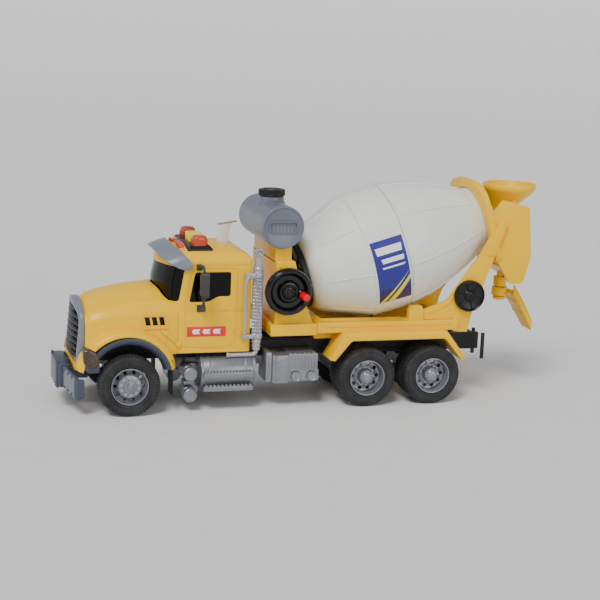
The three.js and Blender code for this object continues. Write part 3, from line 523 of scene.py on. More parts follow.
def silver():
    """Grey plastic with metal flake in it."""
    n = Nodes("silver_flake_plastic")
    flake = n.node("ShaderNodeTexVoronoi")
    flake.inputs["Scale"].default_value = 2600
    n.link(n.coords, flake.inputs["Vector"])
    tone = n.math("ADD", n.math("MULTIPLY", flake.outputs["Color"], 0.5), n.math("MULTIPLY",
                                                                                 n.noise(30, 4), 0.5))
    n.link(n.mix(n.spread(tone, 0, 1, 0.2, 0.8), (0.47, 0.48, 0.50), (0.63, 0.64, 0.66)),
           n.shader.inputs["Base Color"])
    n.link(n.spread(n.noise(90, 5), 0.26, 0.38), n.shader.inputs["Roughness"])
    n.link(n.bump(n.noise(1500, 3), 0.12, 0.0002).outputs["Normal"], n.shader.inputs["Normal"])
    n.set(Metallic=0.6)
    return n.material


def lens(name, deep, bright, rough=0.14):
    """Tinted translucent moulding: light gathers in its thin parts."""
    n = Nodes(name)
    amount = n.math("ADD", n.spread(n.noise(55, 2), 0, 0.65), n.math("MULTIPLY", n.noise(420, 3),
                                                                     0.35))
    n.link(n.mix(amount, bright, deep), n.shader.inputs["Base Color"])
    n.link(n.spread(n.noise(200, 3), rough * 0.7, rough * 1.4), n.shader.inputs["Roughness"])
    n.link(n.bump(n.noise(700, 2), 0.1, 0.0002).outputs["Normal"], n.shader.inputs["Normal"])
    n.set(Subsurface_Weight=0.3, Subsurface_Radius=(0.004, 0.001, 0.0004), Subsurface_Scale=1.0,
          Coat_Weight=0.5, Coat_Roughness=0.05)
    return n.material


def steel():
    """Turned steel with fine lines across its length."""
    n = Nodes("bright_steel")
    stretch = n.node("ShaderNodeMapping")
    stretch.inputs["Scale"].default_value = (1, 0.04, 1)
    n.link(n.coords, stretch.inputs["Vector"])
    lines = n.noise(3000, 3, vector=stretch.outputs["Vector"])
    n.link(n.mix(lines, (0.56, 0.56, 0.57), (0.74, 0.74, 0.75)), n.shader.inputs["Base Color"])
    n.link(n.spread(lines, 0.22, 0.4), n.shader.inputs["Roughness"])
    n.link(n.bump(lines, 0.1, 0.0001).outputs["Normal"], n.shader.inputs["Normal"])
    n.set(Metallic=1.0)
    return n.material


YELLOW = plastic("cab_yellow", (1.0, 0.775, 0.0), 0.025, (0.24, 0.34), 0.10, specular=0.25)
BLUE_GREY = plastic("grille_blue_grey", (0.47, 0.49, 0.535), 0.05, (0.24, 0.34), 0.12)
DARK_GREY = plastic("trim_slate", (0.235, 0.265, 0.325), 0.07, (0.30, 0.42), 0.15)
CHARCOAL = plastic("chassis_charcoal", (0.12, 0.12, 0.13), 0.12, (0.42, 0.58), 0.3, specular=0.35)
MIRROR_GREY = plastic("mirror_charcoal", (0.23, 0.225, 0.235), 0.08, (0.34, 0.46), 0.25)
BLACK = plastic("moulded_black", (0.06, 0.06, 0.065), 0.15, (0.26, 0.38), 0.18, specular=0.4)
GLASS = plastic("glazing_black", (0.012, 0.012, 0.014), 0.2, (0.07, 0.13), 0.03, specular=0.22)
CREAM = plastic("drum_cream", (0.915, 0.925, 0.89), 0.02, (0.22, 0.32), 0.10, specular=0.5)
LEMON = plastic("button_lemon", (0.985, 0.90, 0.02), 0.04, (0.30, 0.40), 0.12)
RED = plastic("knob_red", (0.93, 0.0, 0.12), 0.05, (0.24, 0.34), 0.10, specular=0.3)
LABEL_RED = plastic("label_red", (0.90, 0.13, 0.13), 0.03, (0.34, 0.42), 0.06)
LABEL_WHITE = plastic("label_white", (0.96, 0.95, 0.94), 0.02, (0.34, 0.42), 0.06)
BOARD = plastic("board_green", (0.13, 0.36, 0.22), 0.1, (0.35, 0.5), 0.2)
# darker copy of the blue-grey for the bumper's body and wing plates: painted shade
BUMPER_SHADED_GREY = plastic("bumper_grey_painted_shade", (0.26, 0.285, 0.34), 0.06, (0.30, 0.42), 0.15)
VISOR_GREY = plastic("visor_light_grey", (0.47, 0.49, 0.54), 0.05, (0.24, 0.34), 0.12)
TANK_GREY = plastic("tank_blue_grey", (0.42, 0.44, 0.495), 0.05, (0.26, 0.36), 0.12)
GLOSS_BLACK = plastic("handwheel_black", (0.045, 0.045, 0.05), 0.15, (0.14, 0.22), 0.06)
BRIGHT = plastic("exhaust_grey", (0.70, 0.705, 0.725), 0.05, (0.20, 0.30), 0.12, metal=0.45)
LABEL_BLUE = plastic("label_blue", (0.15, 0.15, 0.53), 0.03, (0.30, 0.40), 0.06)
# darker blue for the drum label's lower part: painted shade
LABEL_BLUE_SHADED = plastic("label_blue_painted_shade", (0.17, 0.11, 0.36), 0.03, (0.30, 0.40), 0.06)
LABEL_LEMON = plastic("label_lemon", (0.93, 0.92, 0.02), 0.03, (0.32, 0.40), 0.06)
FILM = plastic("film_white", (0.90, 0.90, 0.89), 0.02, (0.30, 0.45), 0.05)
STICK = plastic("stick_tan", (0.66, 0.57, 0.44), 0.08, (0.40, 0.55), 0.2)
SILVER = silver()
RUBBER = rubber()
STEEL = steel()
AMBER = lens("beacon_amber", (0.50, 0.08, 0.0), (0.93, 0.33, 0.0))
MARKER = lens("marker_orange", (0.75, 0.08, 0.0), (0.98, 0.30, 0.03))
SMOKE = lens("headlamp_smoke", (0.14, 0.10, 0.08), (0.36, 0.26, 0.17))

# ---- camera, light and floor ---------------------------------------------------------------
CAMERA = Vector((0.3295, 1.0921, 0.3111))
YAW, PITCH, ROLL = 0.291, 0.201, 0.039
SENSOR_MM = 36
FOCAL_PX, IMAGE_PX = 1417, 600
FAR_CLIP = 250
WORLD_STRENGTH = 0.48
FLOOR_STEPS = 96


def add_camera():
    data = bpy.data.cameras.new("camera")
    data.sensor_width = SENSOR_MM
    data.lens = FOCAL_PX / IMAGE_PX * SENSOR_MM
    data.clip_start = 0.01
    data.clip_end = FAR_CLIP
    camera = bpy.data.objects.new("camera", data)
    bpy.context.scene.collection.objects.link(camera)
    forward = Vector((-math.sin(YAW) * math.cos(PITCH), -math.cos(YAW) * math.cos(PITCH),
                      -math.sin(PITCH)))
    level = Vector((-math.cos(YAW), math.sin(YAW), 0))
    lifted = level.cross(forward)
    right = level * math.cos(ROLL) + lifted * math.sin(ROLL)
    up = right.cross(forward)
    turn = Matrix((right, up, -forward)).transposed().to_4x4()
    camera.matrix_world = Matrix.Translation(CAMERA) @ turn
    bpy.context.scene.camera = camera


def soft_sun(name, direction, strength, spread):
    """Wide, distant light shining along a direction."""
    data = bpy.data.lights.new(name, "SUN")
    data.energy = strength
    data.angle = math.radians(spread)
    light = bpy.data.objects.new(name, data)
    bpy.context.scene.collection.objects.link(light)
    light.matrix_world = turn_to((0, 0, 2), -Vector(direction), (0, 1, 0.01))


def add_stage():
    """Floor that rises to a low rim far away, sky and three suns."""
    profile = [(0, 0), (1.5, 0), (3, 0), (3.8, 0.02), (4.5, 0.09), (5.1, 0.22), (5.6, 0.42),
               (5.9, 0.62)]
    steps = FLOOR_STEPS
    verts, faces = [(0, 0, 0)], []
    for r, z in profile[1:]:
        verts += [(r * math.cos(math.tau * k / steps), r * math.sin(math.tau * k / steps), z)
                  for k in range(steps)]
    for k in range(steps):
        q = (k + 1) % steps
        faces.append((0, 1 + k, 1 + q))
        for j in range(len(profile) - 2):
            low, high = 1 + j * steps, 1 + (j + 1) * steps
            faces.append((low + k, high + k, high + q, low + q))
    mesh = bpy.data.meshes.new("floor")
    mesh.from_pydata(verts, [], faces)
    mesh.shade_smooth()
    floor = bpy.data.objects.new("floor", mesh)
    bpy.context.scene.collection.objects.link(floor)
    mesh.materials.append(plastic("paper", (0.91, 0.91, 0.91), 0.01, (0.85, 0.9), 0.0,
                                  specular=0.05))
    world = bpy.data.worlds.new("studio")
    world.use_nodes = True
    sky = world.node_tree.nodes["Background"]
    sky.inputs["Color"].default_value = (0.96, 0.97, 1.0, 1)
    sky.inputs["Strength"].default_value = WORLD_STRENGTH
    bpy.context.scene.world = world
    soft_sun("key", (-0.45, -0.62, -1.0), 2.0, 20)
    soft_sun("front_fill", (-0.9, -0.25, -0.35), 0.4, 35)
    soft_sun("side_fill", (0.35, -0.9, -0.30), 0.6, 35)


add_camera()
add_stage()

# ---- wheels --------------------------------------------------------------------------------


def tread(outer_edge, inner_edge, notches, depth):
    """Radius wave with cross notches at both shoulders of a tyre; the fine grooves between come from the
    tyre's profile.
    """
    middle = (outer_edge + inner_edge) / 2
    half = abs(outer_edge - inner_edge) / 2

    def wave(angle, _, r, h):
        if r < TYRE_R - 2.6:
            return r, h
        across = abs(h - middle) / half
        phase = (angle * notches / (math.tau) + (0.5 if h > middle else 0)) % 1
        if across > 0.45 and phase < 0.34:
            r -= depth
        return r, h
    return wave


def tyre_profile(inner, outer):
    """Section of one tyre, anticlockwise in (radius, y), with rings moulded in its walls."""
    bulge = 0.9
    wall = [(15.15, 1.3), (15.9, 0.75), (16.7, 0.7), (17.0, 1.0), (17.3, 0.6), (19.2, 0.25),
            (20.8, 0.45), (21.0, 0.75), (21.25, 0.5), (22.4, 1.05), (23.2, 1.75), (23.75, 2.6),
            (24.0, 3.6)]
    inside = [(r, inner + d * bulge) for r, d in wall]
    width = outer - inner
    crown = []
    for t in (0.27, 0.33, 0.40, 0.42, 0.45, 0.5, 0.55, 0.58, 0.60, 0.67, 0.73):
        groove = 0.7 if t in (0.42, 0.58) else 0
        crown.append((TYRE_R - groove, inner + width * t))
    outside = [(r, outer - d * bulge) for r, d in reversed(wall)]
    return inside + crown + outside


def add_tyre(shape, centre, inner, outer, notches=56):
    profile = tyre_profile(inner, outer)
    shape.lathe(profile, centre, steps=notches * 6, wave=tread(outer, inner, notches, 0.4))


def lug_nuts(shape, centre, count, ring, y, radius, height, turn=0.0, slot=0):
    """Ring of nuts on a wheel's face at y."""
    for i in range(count):
        a = turn + math.tau * i / count
        at = (centre[0] + ring * math.cos(a), 0, centre[2] + ring * math.sin(a))
        shape.lathe([(0, y - 0.4), (radius, y - 0.4), (radius, y + height * 0.35), (radius * 0.78,
                                                                                    y + height * 0.4),
                     (radius * 0.6, y + height), (radius * 0.25, y + height * 1.15),
                     (0, y + height * 1.15)],
                    at, steps=12, loop=False, slot=slot)


def hand_holes(centre, count, ring, radius, low, high, stretch=1.0, turn=0.0):
    """Cutter for the ring of holes in a wheel disc."""
    cutter = Shape()
    for i in range(count):
        a = turn + math.tau * i / count
        points = []
        for k in range(16):
            b = math.tau * k / 16
            u, v = radius * stretch * math.cos(b), radius * math.sin(b)
            points.append((centre[0] + ring * math.cos(a) - u * math.sin(a) + v * math.cos(a),
                           centre[2] + ring * math.sin(a) + u * math.cos(a) + v * math.sin(a)))
        cutter.prism(points, low, high)
    return cutter


def add_front_wheels():
    centre = (FRONT_AXLE_X, 0, AXLE_Z)
    for side, mirror in SIDES:
        tyre = Shape(mirror)
        add_tyre(tyre, centre, 34.5, 51.5)
        piece(tyre, f"tyre_front_{side}", f"front_tyre_{side}", RUBBER)
        disc = Shape()
        disc.lathe([(0, 45.6), (4.6, 45.4), (9.5, 44.4), (12.6, 42.6), (13.4, 36.2), (14.6, 35.9),
                    (14.65, 50.0),
                    (14.5, 50.75), (14.1, 50.9), (13.7, 50.7), (13.4, 50.0), (13.1, 46.6),
                    (12.7, 45.6),
                   (11.8, 45.9), (10.2, 46.9), (9.2, 48.2), (8.9, 49.2), (8.3, 49.5), (5.2, 49.7),
                    (4.9, 50.2), (4.4, 50.3),
                    (4.2, 50.2), (3.3, 50.3), (3.1, 50.9), (2.3, 51.1), (2.1, 51.9), (1.3, 52.2),
                    (0, 52.2)],
                   centre, steps=96, loop=False)
        wheel = carved(temporary(disc), hand_holes(centre, 10, 11.0, 1.55, 30, 60))
        softened(wheel, 0.12, 2, 50)
        rim = reopened(wheel, mirror)
        lug_nuts(rim, centre, 10, 6.9, 49.3, 1.25, 1.7, 0.2, slot=1)
        piece(rim, f"wheel_front_{side}", f"front_rim_{side}", [SILVER, BRIGHT])


def add_rear_wheels():
    for number, x in REAR_AXLE_X.items():
        centre = (x, 0, AXLE_Z)
        for side, mirror in SIDES:
            tyre = Shape(mirror)
            add_tyre(tyre, centre, 36.1, 50.5)
            add_tyre(tyre, centre, 20.5, 34.9)
            tyre.lathe([(15.2, 34.0), (18.2, 34.4), (18.2, 36.6), (15.2, 37.0)], centre, steps=64)
            piece(tyre, f"tyre_rear_{number}_{side}", f"rear_tyre_{number}_{side}",
                  RUBBER)
            dish = Shape()
            dish.lathe([(0, 38.6), (6.0, 38.6), (11.5, 38.6), (12.6, 37.2), (13.2, 22.0),
                        (14.6, 21.6), (14.65, 49.3),
                        (14.5, 49.9), (14.1, 50.05), (13.7, 49.9), (13.4, 49.2), (13.1, 42.2),
                        (12.5, 41.0),
                        (11.6, 40.6), (9.6, 40.7), (8.4, 41.1), (7.9, 41.6), (6.6, 41.7),
                        (6.0, 42.2), (5.6, 44.0),
                        (5.5, 46.6), (5.2, 47.3), (4.5, 47.6), (4.3, 48.8), (3.6, 49.5),
                        (2.0, 49.9), (0, 50.0)],
                       centre, steps=96, loop=False)
            wheel = carved(temporary(dish), hand_holes(centre, 10, 10.6, 1.45, 20, 48, 1.15))
            softened(wheel, 0.12, 2, 50)
            rim = reopened(wheel, mirror)
            lug_nuts(rim, centre, 10, 7.6, 41.2, 1.15, 1.8, 0.1, slot=1)
            lug_nuts(rim, centre, 8, 3.2, 49.1, 0.55, 0.7, 0.3)
            piece(rim, f"wheel_rear_{number}_{side}", f"rear_rim_{number}_{side}",
                  [SILVER, BRIGHT])


# ---- chassis, bumper and side tanks --------------------------------------------------------


def rivet(shape, x, y, z, radius, height, axis="Y"):
    """Domed head on the plane across axis through (x, y, z)."""
    base = {"X": x, "Y": y, "Z": z}[axis]
    centre = Vector((x, y, z)) - Vector(AXIS_MAPS[axis](0, 0, base))
    shape.lathe([(0, base - 0.3), (radius, base - 0.3), (radius, base + height * 0.3),
                 (radius * 0.75, base + height * 0.8),
                 (radius * 0.35, base + height), (0, base + height)], centre, axis, 14, loop=False)


def add_chassis():
    shape = Shape()
    for sign in (1, -1):
        y0, y1 = span(sign, 14, 19)
        rail = rect(-150, 178, 38, 52)
        shape.prism(rail, y0, y1, bevel=0.5)
        lip0, lip1 = span(sign, 18.6, 19.3)
        for z in (38.9, 51.1):
            shape.box(-148, 112, lip0, lip1, z - 0.7, z + 0.7, 0.25)
        for i in range(22):
            rivet(shape, -140 + i * 11.0, 0, 45, 0.9, 0.1)
        shape.prism([(144.5, 17, 2), (156.5, 17, 2), (158, 40), (143, 40)], y0, y1, bevel=0.5)
        inner0, inner1 = span(sign, 11, 14.2)
        shape.prism([(-50, 17, 2), (-20.8, 17, 2), (-20.8, 40), (-50, 40)], inner0, inner1,
                    bevel=0.4)
        shape.prism([(-105, 17, 2), (-91, 17, 2), (-89, 40), (-107, 40)], inner0, inner1, bevel=0.4)
        shape.box(-105, -20.8, inner0, inner1 + (0.3 if sign > 0 else 0), 38, 41, 0.3)
        flap0, flap1 = span(sign, 27, 47)
        shape.prism([(114, 45), (117, 45), (116.6, 24), (115.8, 10.5, 0.4), (114.3, 10.5, 0.4),
                     (114, 24)],
                    flap0, flap1, bevel=0.35)
        for k in range(4):
            low, high = span(sign, 29.5 + k * 4.7, 31.2 + k * 4.7)
            shape.prism([(116.4, 43), (117.3, 43), (116.9, 14), (116.0, 14)], low, high, bevel=0.2)
        brace0, brace1 = span(sign, 18, 40)
        shape.box(114, 120, brace0, brace1, 41, 45, 0.5)
    for x0, x1 in ((172, 178), (104, 110), (20, 26), (-76, -70), (-150, -144)):
        shape.box(x0, x1, -18.5, 18.5, 40, 50, 0.5)
    for sign in (1, -1):
        low, high = span(sign, 10, 18.5)
        shape.box(172, 178, low, high, 24, 50, 0.5)
    shape.prism(rect(-37, 37, 30, 56, 2), -154, -149.5, "X", bevel=0.5)
    for y in (-30, -10, 10, 30):
        shape.box(-150.5, -147.5, y - 0.8, y + 0.8, 32, 54, 0.3)
    chassis = temporary(shape)
    holes = Shape()
    for x in (FRONT_AXLE_X, *REAR_AXLE_X.values()):
        holes.disc(2.4, -22, 22, (x, 0, AXLE_Z), steps=20, edge=0.01)
    holes.disc(1.9, -22, 22, (-26.774, 0, 31.1), steps=16, edge=0.01)
    carved(chassis, holes)
    piece(chassis, "chassis", "chassis_frame", CHARCOAL)
    cover = Shape()
    cover.box(60, 102, -13.6, 13.6, 42, 44, 0.5)
    cover.prism(rect(64, 98, -10, 10, 2), 43.5, 46, "Z", bevel=0.4)
    for i in range(6):
        cover.box(66 + i * 5.4, 68 + i * 5.4, -7, 7, 41.4, 42.4, 0.2)
    rivet(cover, 99.5, 0, 44, 1.3, 0.5, "Z")
    piece(cover, "battery_door", "battery_cover", CHARCOAL)


BUMPER_FRONT_X = 203
BUMPER_PLAN = ((0, BUMPER_FRONT_X), (14, BUMPER_FRONT_X), (21, 201.2), (23, 198), (45.5, 191.0),
               (46.5, 190.2))
WING_START, WING_END = 22.6, 46.4


def bumper_x(y):
    """Front face of the bumper at a distance y from the middle."""
    return along(BUMPER_PLAN, abs(y))


def add_bumper():
    shape = Shape()
    plan_front = [(bumper_x(y), y) for y in (-20, -14, -7, 0, 7, 14, 20)]
    plan = [(193, -22.2), (200.2, -22.2), *plan_front, (200.2, 22.2), (193, 22.2)]
    shape.prism(plan, 18, 37, "Z", bevel=0.9, segments=3, angle=25)
    for y in (-16.5, 16.5):
        for offset in (-1.7, 1.7):
            at = y + offset
            front = min(bumper_x(at) + 0.9, BUMPER_FRONT_X)
            shape.prism(rect(bumper_x(at) - 1, front, at - 0.9, at + 0.9), 17, 38.4, "Z", bevel=0.4)
    for y in (-9, 0, 9):
        shape.prism([(195, y - 1.8), (202.8, y - 1.4), (202.8, y + 1.4), (195, y + 1.8)], 16, 18.4,
                    "Z", bevel=0.4)
    for sign in (1, -1):
        # the wing's plate in the darker grey, which is painted shade, and the lighter panel with the studs on
        # it in the plain blue-grey
        for start, share, margin, lift, thick, bevel, slot in (
                (0, 1, 0, 0, 2.2, 0.6, 0), (0.05, 0.80, 0.8, 0.55, 0.9, 0.3, 1)):
            rows = []
            for i in range(9):
                t = start + share * i / 8
                y = WING_START + (WING_END - WING_START) * t
                top, bottom = 36 - 5.5 * t - margin, 18 - 4.5 * t + margin
                x = bumper_x(max(y, 23.0)) + lift
                rows.append([(x, sign * y, bottom + (top - bottom) * k / 6) for k in range(7)])
            shape.sheet(rows[::-1] if sign > 0 else rows, thick, bevel=bevel, angle=45, slot=slot)
        end0, end1 = span(sign, 43.4, 46.4)
        shape.prism([(184.8, 15.0, 1), (190.2, 13.6, 1), (190.6, 30.4, 1), (184.8, 29.4, 1)], end0,
                    end1, bevel=0.7,
                    segments=3)
        for column in (0, 1, 2):
            for row in (0, 1):
                y = 26.0 + column * 6.4
                t = (y - WING_START) / 23.8
                z = (20.3 - 4.3 * t) if row == 0 else (34.0 - 5.2 * t)
                centre = turn_to((bumper_x(y), sign * y, z), (0.955, sign * 0.297, 0), (0, 0, 1))
                stud = Shape(matrix=centre)
                stud.lathe([(0, -0.4), (1.1, -0.4), (1.1, 0.8), (0.8, 1.25), (0, 1.4)], axis="Z",
                           steps=16,
                           loop=False)
                shape.join(stud)
        low, high = span(sign, 12, 18)
        shape.box(178.3, 194, low, high, 24, 32, 0.5)
    piece(shape, "front_bumper", "bumper", [BUMPER_SHADED_GREY, BLUE_GREY])


def add_side_tanks():
    for side, mirror in SIDES:
        shape = Shape(mirror)
        radius = 13.3
        arc = [(31.5 + radius * math.cos(a), 30 + radius * math.sin(a))
               for a in [math.radians(-90 + 180 * i / 24) for i in range(25)]]
        shape.prism([(19.5, 16.7), *arc, (19.5, 43.3)], 49, 93.5, "X", bevel=0.5, angle=50)
        for x0, x1 in ((49.0, 51.2), (56.0, 58.0), (85.6, 87.6), (91.3, 93.5)):
            ring = [(31.5 + (radius + 0.35) * math.cos(a), 30 + (radius + 0.35) * math.sin(a))
                    for a in [math.radians(-80 + 160 * i / 22) for i in range(23)]]
            shape.prism([(30, 17.2), *ring, (30, 42.8)], x0 + 0.02, x1 - 0.02, "X", bevel=0.2,
                        angle=60)
        shape.prism(rect(42, 46.9, 27.4, 31.8), 52, 92, "X", bevel=0.5)
        shape.prism(rect(36, 46.5, 16.7, 20.5), 52, 92, "X", bevel=0.4)
        for i in range(15):
            x = 54.2 + i * 2.6
            shape.prism([(x - 0.8, 31.5), (x + 0.8, 31.5), (x + 0.5, 33.2), (x - 0.5, 33.2)], 43.6,
                        46.6, "Y",
                        bevel=0.2)
        for i in range(12):
            x = 54.4 + i * 3.2
            shape.lathe(rect(0, 1.05, 43.4, 46.2), (x, 0, 20.9), steps=12, loop=False,
                        bevel=0.15)
        for z in (30.5, 13.6):
            shape.lathe([(0, 22), (5.2, 22), (5.7, 22.5), (5.7, 38.6), (5.45, 38.8), (5.45, 39.2),
                         (5.7, 39.4),
                         (5.7, 43.6), (5.5, 44.2), (4.9, 44.75), (4.4, 45.0), (4.2, 44.75),
                         (0, 44.6)],
                        (102, 0, z), steps=48, loop=False)
        shape.box(93, 103, 24, 30, 12, 36, 0.5)
        shape.box(97.5, 106, 26, 37, 20.4, 23.6, 0.4)
        piece(shape, f"tank_and_steps_{side}", f"fuel_tank_{side}", SILVER)

        box = Shape(mirror)
        front = [(23, 20), (37, 20), (37, 41.2, 2), (34.2, 44.8, 3), (23, 44.8)]
        box.prism(front, 20.8, 43.7, "Z", bevel=0.6)
        for i in range(5):
            z = 24.4 + i * 4.1
            box.prism([(24.0, z), (34.2, z - 3.4), (34.2, z - 2.3), (24.0, z + 1.1)], 44.4, 45.4,
                      "Y", bevel=0.25)
        box.prism(rect(36.5, 41.3, 22, 46, 1), 20, 43, "Y", bevel=0.5)
        box.box(38.2, 39.6, 42.4, 43.4, 24, 44, 0.2)
        box.prism([(-1, 30.5), (23.5, 30.5), (23.5, 44.6, 1), (-1, 44.6, 1)], 20, 45, "Y",
                  bevel=0.6)
        for i in range(9):
            x = 0.8 + i * 2.6
            box.box(x, x + 0.9, 44.7, 45.5, 32, 43.4, 0.2)
        for i in range(6):
            x = 1.6 + i * 3.8
            box.box(x, x + 1.8, 30, 44, 44.3, 45.1, 0.25)
        box.prism([(-2.6, 21.8, 1), (23.5, 21.8, 1), (23.5, 31), (-2.6, 31)], 20, 43, "Y",
                  bevel=0.5)
        for x in (16.7, 3.4):
            box.lathe([(0, 42), (4.3, 42), (4.3, 43.4), (4.1, 43.6), (4.1, 45.2), (3.9, 45.7),
                       (3.4, 46.0), (3.1, 45.75),
                       (0, 45.6)], (x, 0, 26.1), steps=40, loop=False)
        box.prism([(15.6, 28.3), (16.1, 28.7), (18.0, 24.0), (17.4, 23.7)], 45.4, 45.8, "Y",
                  bevel=0.1)
        piece(box, f"battery_boxes_{side}", f"battery_box_{side}", SILVER)


# ---- cab and bonnet ------------------------------------------------------------------------
CAB_REAR = 53.5
CAB_HALF = 39.0
CAB_FRONT = 127.5
LEAN_START, LEAN = 101, 0.24
ROOF_TOP = 129
CAB_PARTS = 12
GLAZING_LOW, GLAZING_HIGH = 84.6, 115.6
ROOF_START = 117.5
ROOF_EDGE_R = 8.5
SIDE_WINDOW = [(70.5, 91.2, 2), (80.5, 91.2, 3), (88, 87, 3), (103.5, 87, 2), (99, 110.5, 2.5),
               (70.5, 110.5, 2)]
WINDSHIELD = [(111.5, 87.3, 2.5), (140, 87.3), (140, 114.5), (107, 114.5, 1)]


def cab_ring(z, off=0.0):
    """Plan outline of the cab at one height, off millimetres inside its outer skin."""
    lean = max(0.0, z - LEAN_START) * LEAN
    front = CAB_FRONT - lean - off
    side = CAB_HALF - off
    rear = CAB_REAR + off
    shrink = 0.0
    if z > ROOF_START:
        t = min((z - ROOF_START) / ROOF_EDGE_R, 1.0)
        shrink = ROOF_EDGE_R * (1 - math.sqrt(max(1 - t * t, 0)))
    outline = [(rear, -side, 3.5), (112 - lean * 0.6, -side, 7), (121 - lean - off * 0.7, -28 + off,
                                                                  7),
               (front, -8, 9), (front, 8, 9), (121 - lean - off * 0.7, 28 - off, 7),
               (112 - lean * 0.6, side, 7),
               (rear, side, 3.5)]
    points = rounded(outline, 6)
    dense = []
    for i, p in enumerate(points):
        q = points[(i + 1) % len(points)]
        gap = math.dist(p, q)
        dense.append(p)
        if gap > 12:
            parts = CAB_PARTS
            dense += [(p[0] + (q[0] - p[0]) * k / parts,
                       p[1] + (q[1] - p[1]) * k / parts) for k in range(1, parts)]
    cx = (rear + front) / 2
    half = (front - rear) / 2
    kx, ky = (half - shrink) / half, (side - shrink * 1.15) / side
    return [(cx + (x - cx) * kx, y * ky, z) for x, y in dense]


def cab_skin(off, low):
    """Stack of rings from the sill over the roof edge to the crown."""
    heights = [low + (ROOF_START - low) * i / 14 for i in range(15)]
    heights += [ROOF_START + ROOF_EDGE_R * math.sin(math.radians(a)) for a in (12, 24, 36, 48, 60,
                                                                               72, 84)]
    rings = [cab_ring(z, off) for z in heights]
    last = rings[-1]
    cx = sum(p[0] for p in last) / len(last)
    crown = ROOF_START + ROOF_EDGE_R
    for k in range(1, 9):
        s = 1 - k / 8.6
        z = crown + (ROOF_TOP - off - crown) * (1 - s ** 2.2)
        rings.append([(cx + (p[0] - cx) * s, p[1] * s, z) for p in last])
    if off:
        rings = [[(x, y, z - off if z > ROOF_START else z) for x, y, z in ring] for ring in rings]
    return rings


def add_cab():
    outer = Shape()
    outer.loft(cab_skin(0.0, 46.5))
    shell = temporary(outer)
    room = Shape()
    room.loft(cab_skin(2.0, 40.0))
    room_low = Shape()
    room_low.box(117.8, 140, -60, 60, 40, 82, 0)
    doorway = Shape()
    doorway.box(100, 130, -34, 34, 40, 84, 0)
    notch = Shape()
    notch.box(50, 60, -20, 20, 40, 52.5, 0)
    side_cut = Shape()
    side_cut.prism(SIDE_WINDOW, -60, 60)
    front_cut = Shape()
    front_cut.prism(WINDSHIELD, -60, 60)
    tops = Shape()
    tops.box(86, 98.5, -8.5, 8.5, 112, 140, 0)
    for x in (63.7, 70.6):
        tops.prism(rect(x - 0.3, x + 1.7, 16.8, 22.2, 0.8),
                   115, 140, "Z")
    tops.box(64, 74.6, -1.1, 1.1, 115, 140, 0)
    for sign in (1, -1):
        low, high = span(sign, 7.7, 16.3)
        tops.box(106.1, 108.7, low, high, 115, 140, 0)
    carved(shell, room, room_low, doorway, notch, side_cut, front_cut, tops)
    grooves = Shape()
    door = [(106.2, 50.6, 1), (106.2, 88, 1), (101.2, 113.6, 2.5), (64.6, 113.6, 2.5),
            (64.6, 56, 5), (70, 50.6, 5)]
    for sign in (1, -1):
        low, high = span(sign, 38.55, 41)
        outer_line, inner_line = rounded(door, 5), rounded(inset(door, 0.55), 5)
        add_frame(grooves, outer_line, inner_line, low, high)
    belts = Shape()
    for sign in (1, -1):
        low, high = span(sign, 38.7, 41)
        belts.box(52, 118.6, low, high, 78.9, 79.35, 0)
        belts.prism(rect(75, 94, 48.2, 50.0), low, high)
        belts.box(52, 118.6, low, high, 115.3, 115.7, 0)
    carved(shell, grooves)
    carved(shell, belts)
    softened(shell, 0.28, 2, 48)
    piece(shell, "cab", "cab_shell", YELLOW, 30)
    fixtures = Shape()
    for sign in (1, -1):
        low, high = span(sign, 38.7, 39.6)
        fixtures.prism(rect(72, 78.4, 80.6, 82.4, 0.6), low, high,
                       bevel=0.25)
        low, high = span(sign, 38.8, 39.7)
        fixtures.prism(rect(56, 112, 46.6, 48.6), low, high, bevel=0.4)
        fixtures.prism(rect(66.8, 68.2, 62, 64.5, 0.4), low, high, bevel=0.2)
    for y in (-14, 14):
        fixtures.prism(rect(y - 7, y + 7, 70, 96, 1), 53.2, 54.1, "X", bevel=0.3)
    extra(fixtures, "cab_trim_lines", "truck", YELLOW)

    glass = Shape()
    tall = GLAZING_HIGH - GLAZING_LOW
    rings = [cab_ring(GLAZING_LOW + tall * i / 16, 0.9) for i in range(17)]
    back = [cab_ring(GLAZING_HIGH - tall * i / 16, 1.95) for i in range(17)]
    glass.loft(rings + back + [rings[0]], caps=False)
    for sign in (1, -1):
        route = []
        for z in (88.5, 93, 98, 103, 108, 113.5):
            corner = (118.2 - max(0, z - LEAN_START) * 0.3, sign * 32.5)
            route.append(min(cab_ring(z, 0.75), key=lambda p: math.dist(p[:2], corner)))
        glass.tube(route, 0.75, 10, 4)
    piece(glass, "cab_windows", "cab_glazing", GLASS, 40)

    for side, mirror in SIDES:
        label = Shape(mirror)
        label.prism(rect(73.7, 104.8, 59.6, 67.5, 0.3), 38.9, 39.1,
                    bevel=0.03)
        extra(label, f"door_label_{side}", "truck", LABEL_RED)
        mark = Shape(mirror)
        for k in range(3):
            x = 77.6 + k * 8.3
            mark.prism([(x, 61.6, 0.4), (x + 5.4, 61.6, 0.4), (x + 6.6, 63.5, 0.4), (x + 5.4, 65.4,
                                                                                     0.4), (x, 65.4, 0.4),
                        (x + 1.2, 63.5, 0.4)], 39.0, 39.16, bevel=0.03)
        extra(mark, f"door_label_arrows_{side}", "truck", LABEL_WHITE)


def add_frame(shape, outer_line, inner_line, low, high, axis="Y"):
    """Ring-shaped prism between two outlines of equal point counts."""
    place = AXIS_MAPS[axis]
    n = len(outer_line)
    rings = [[place(a, b, low) for a, b in outer_line], [place(a, b, high) for a, b in outer_line],
             [place(a, b, high) for a, b in inner_line], [place(a, b, low) for a, b in inner_line]]
    verts = [p for ring in rings for p in ring]
    faces = []
    for j in range(4):
        k = (j + 1) % 4
        for i in range(n):
            q = (i + 1) % n
            faces.append((j * n + i, j * n + q, k * n + q, k * n + i))
    shape.add(verts, faces)


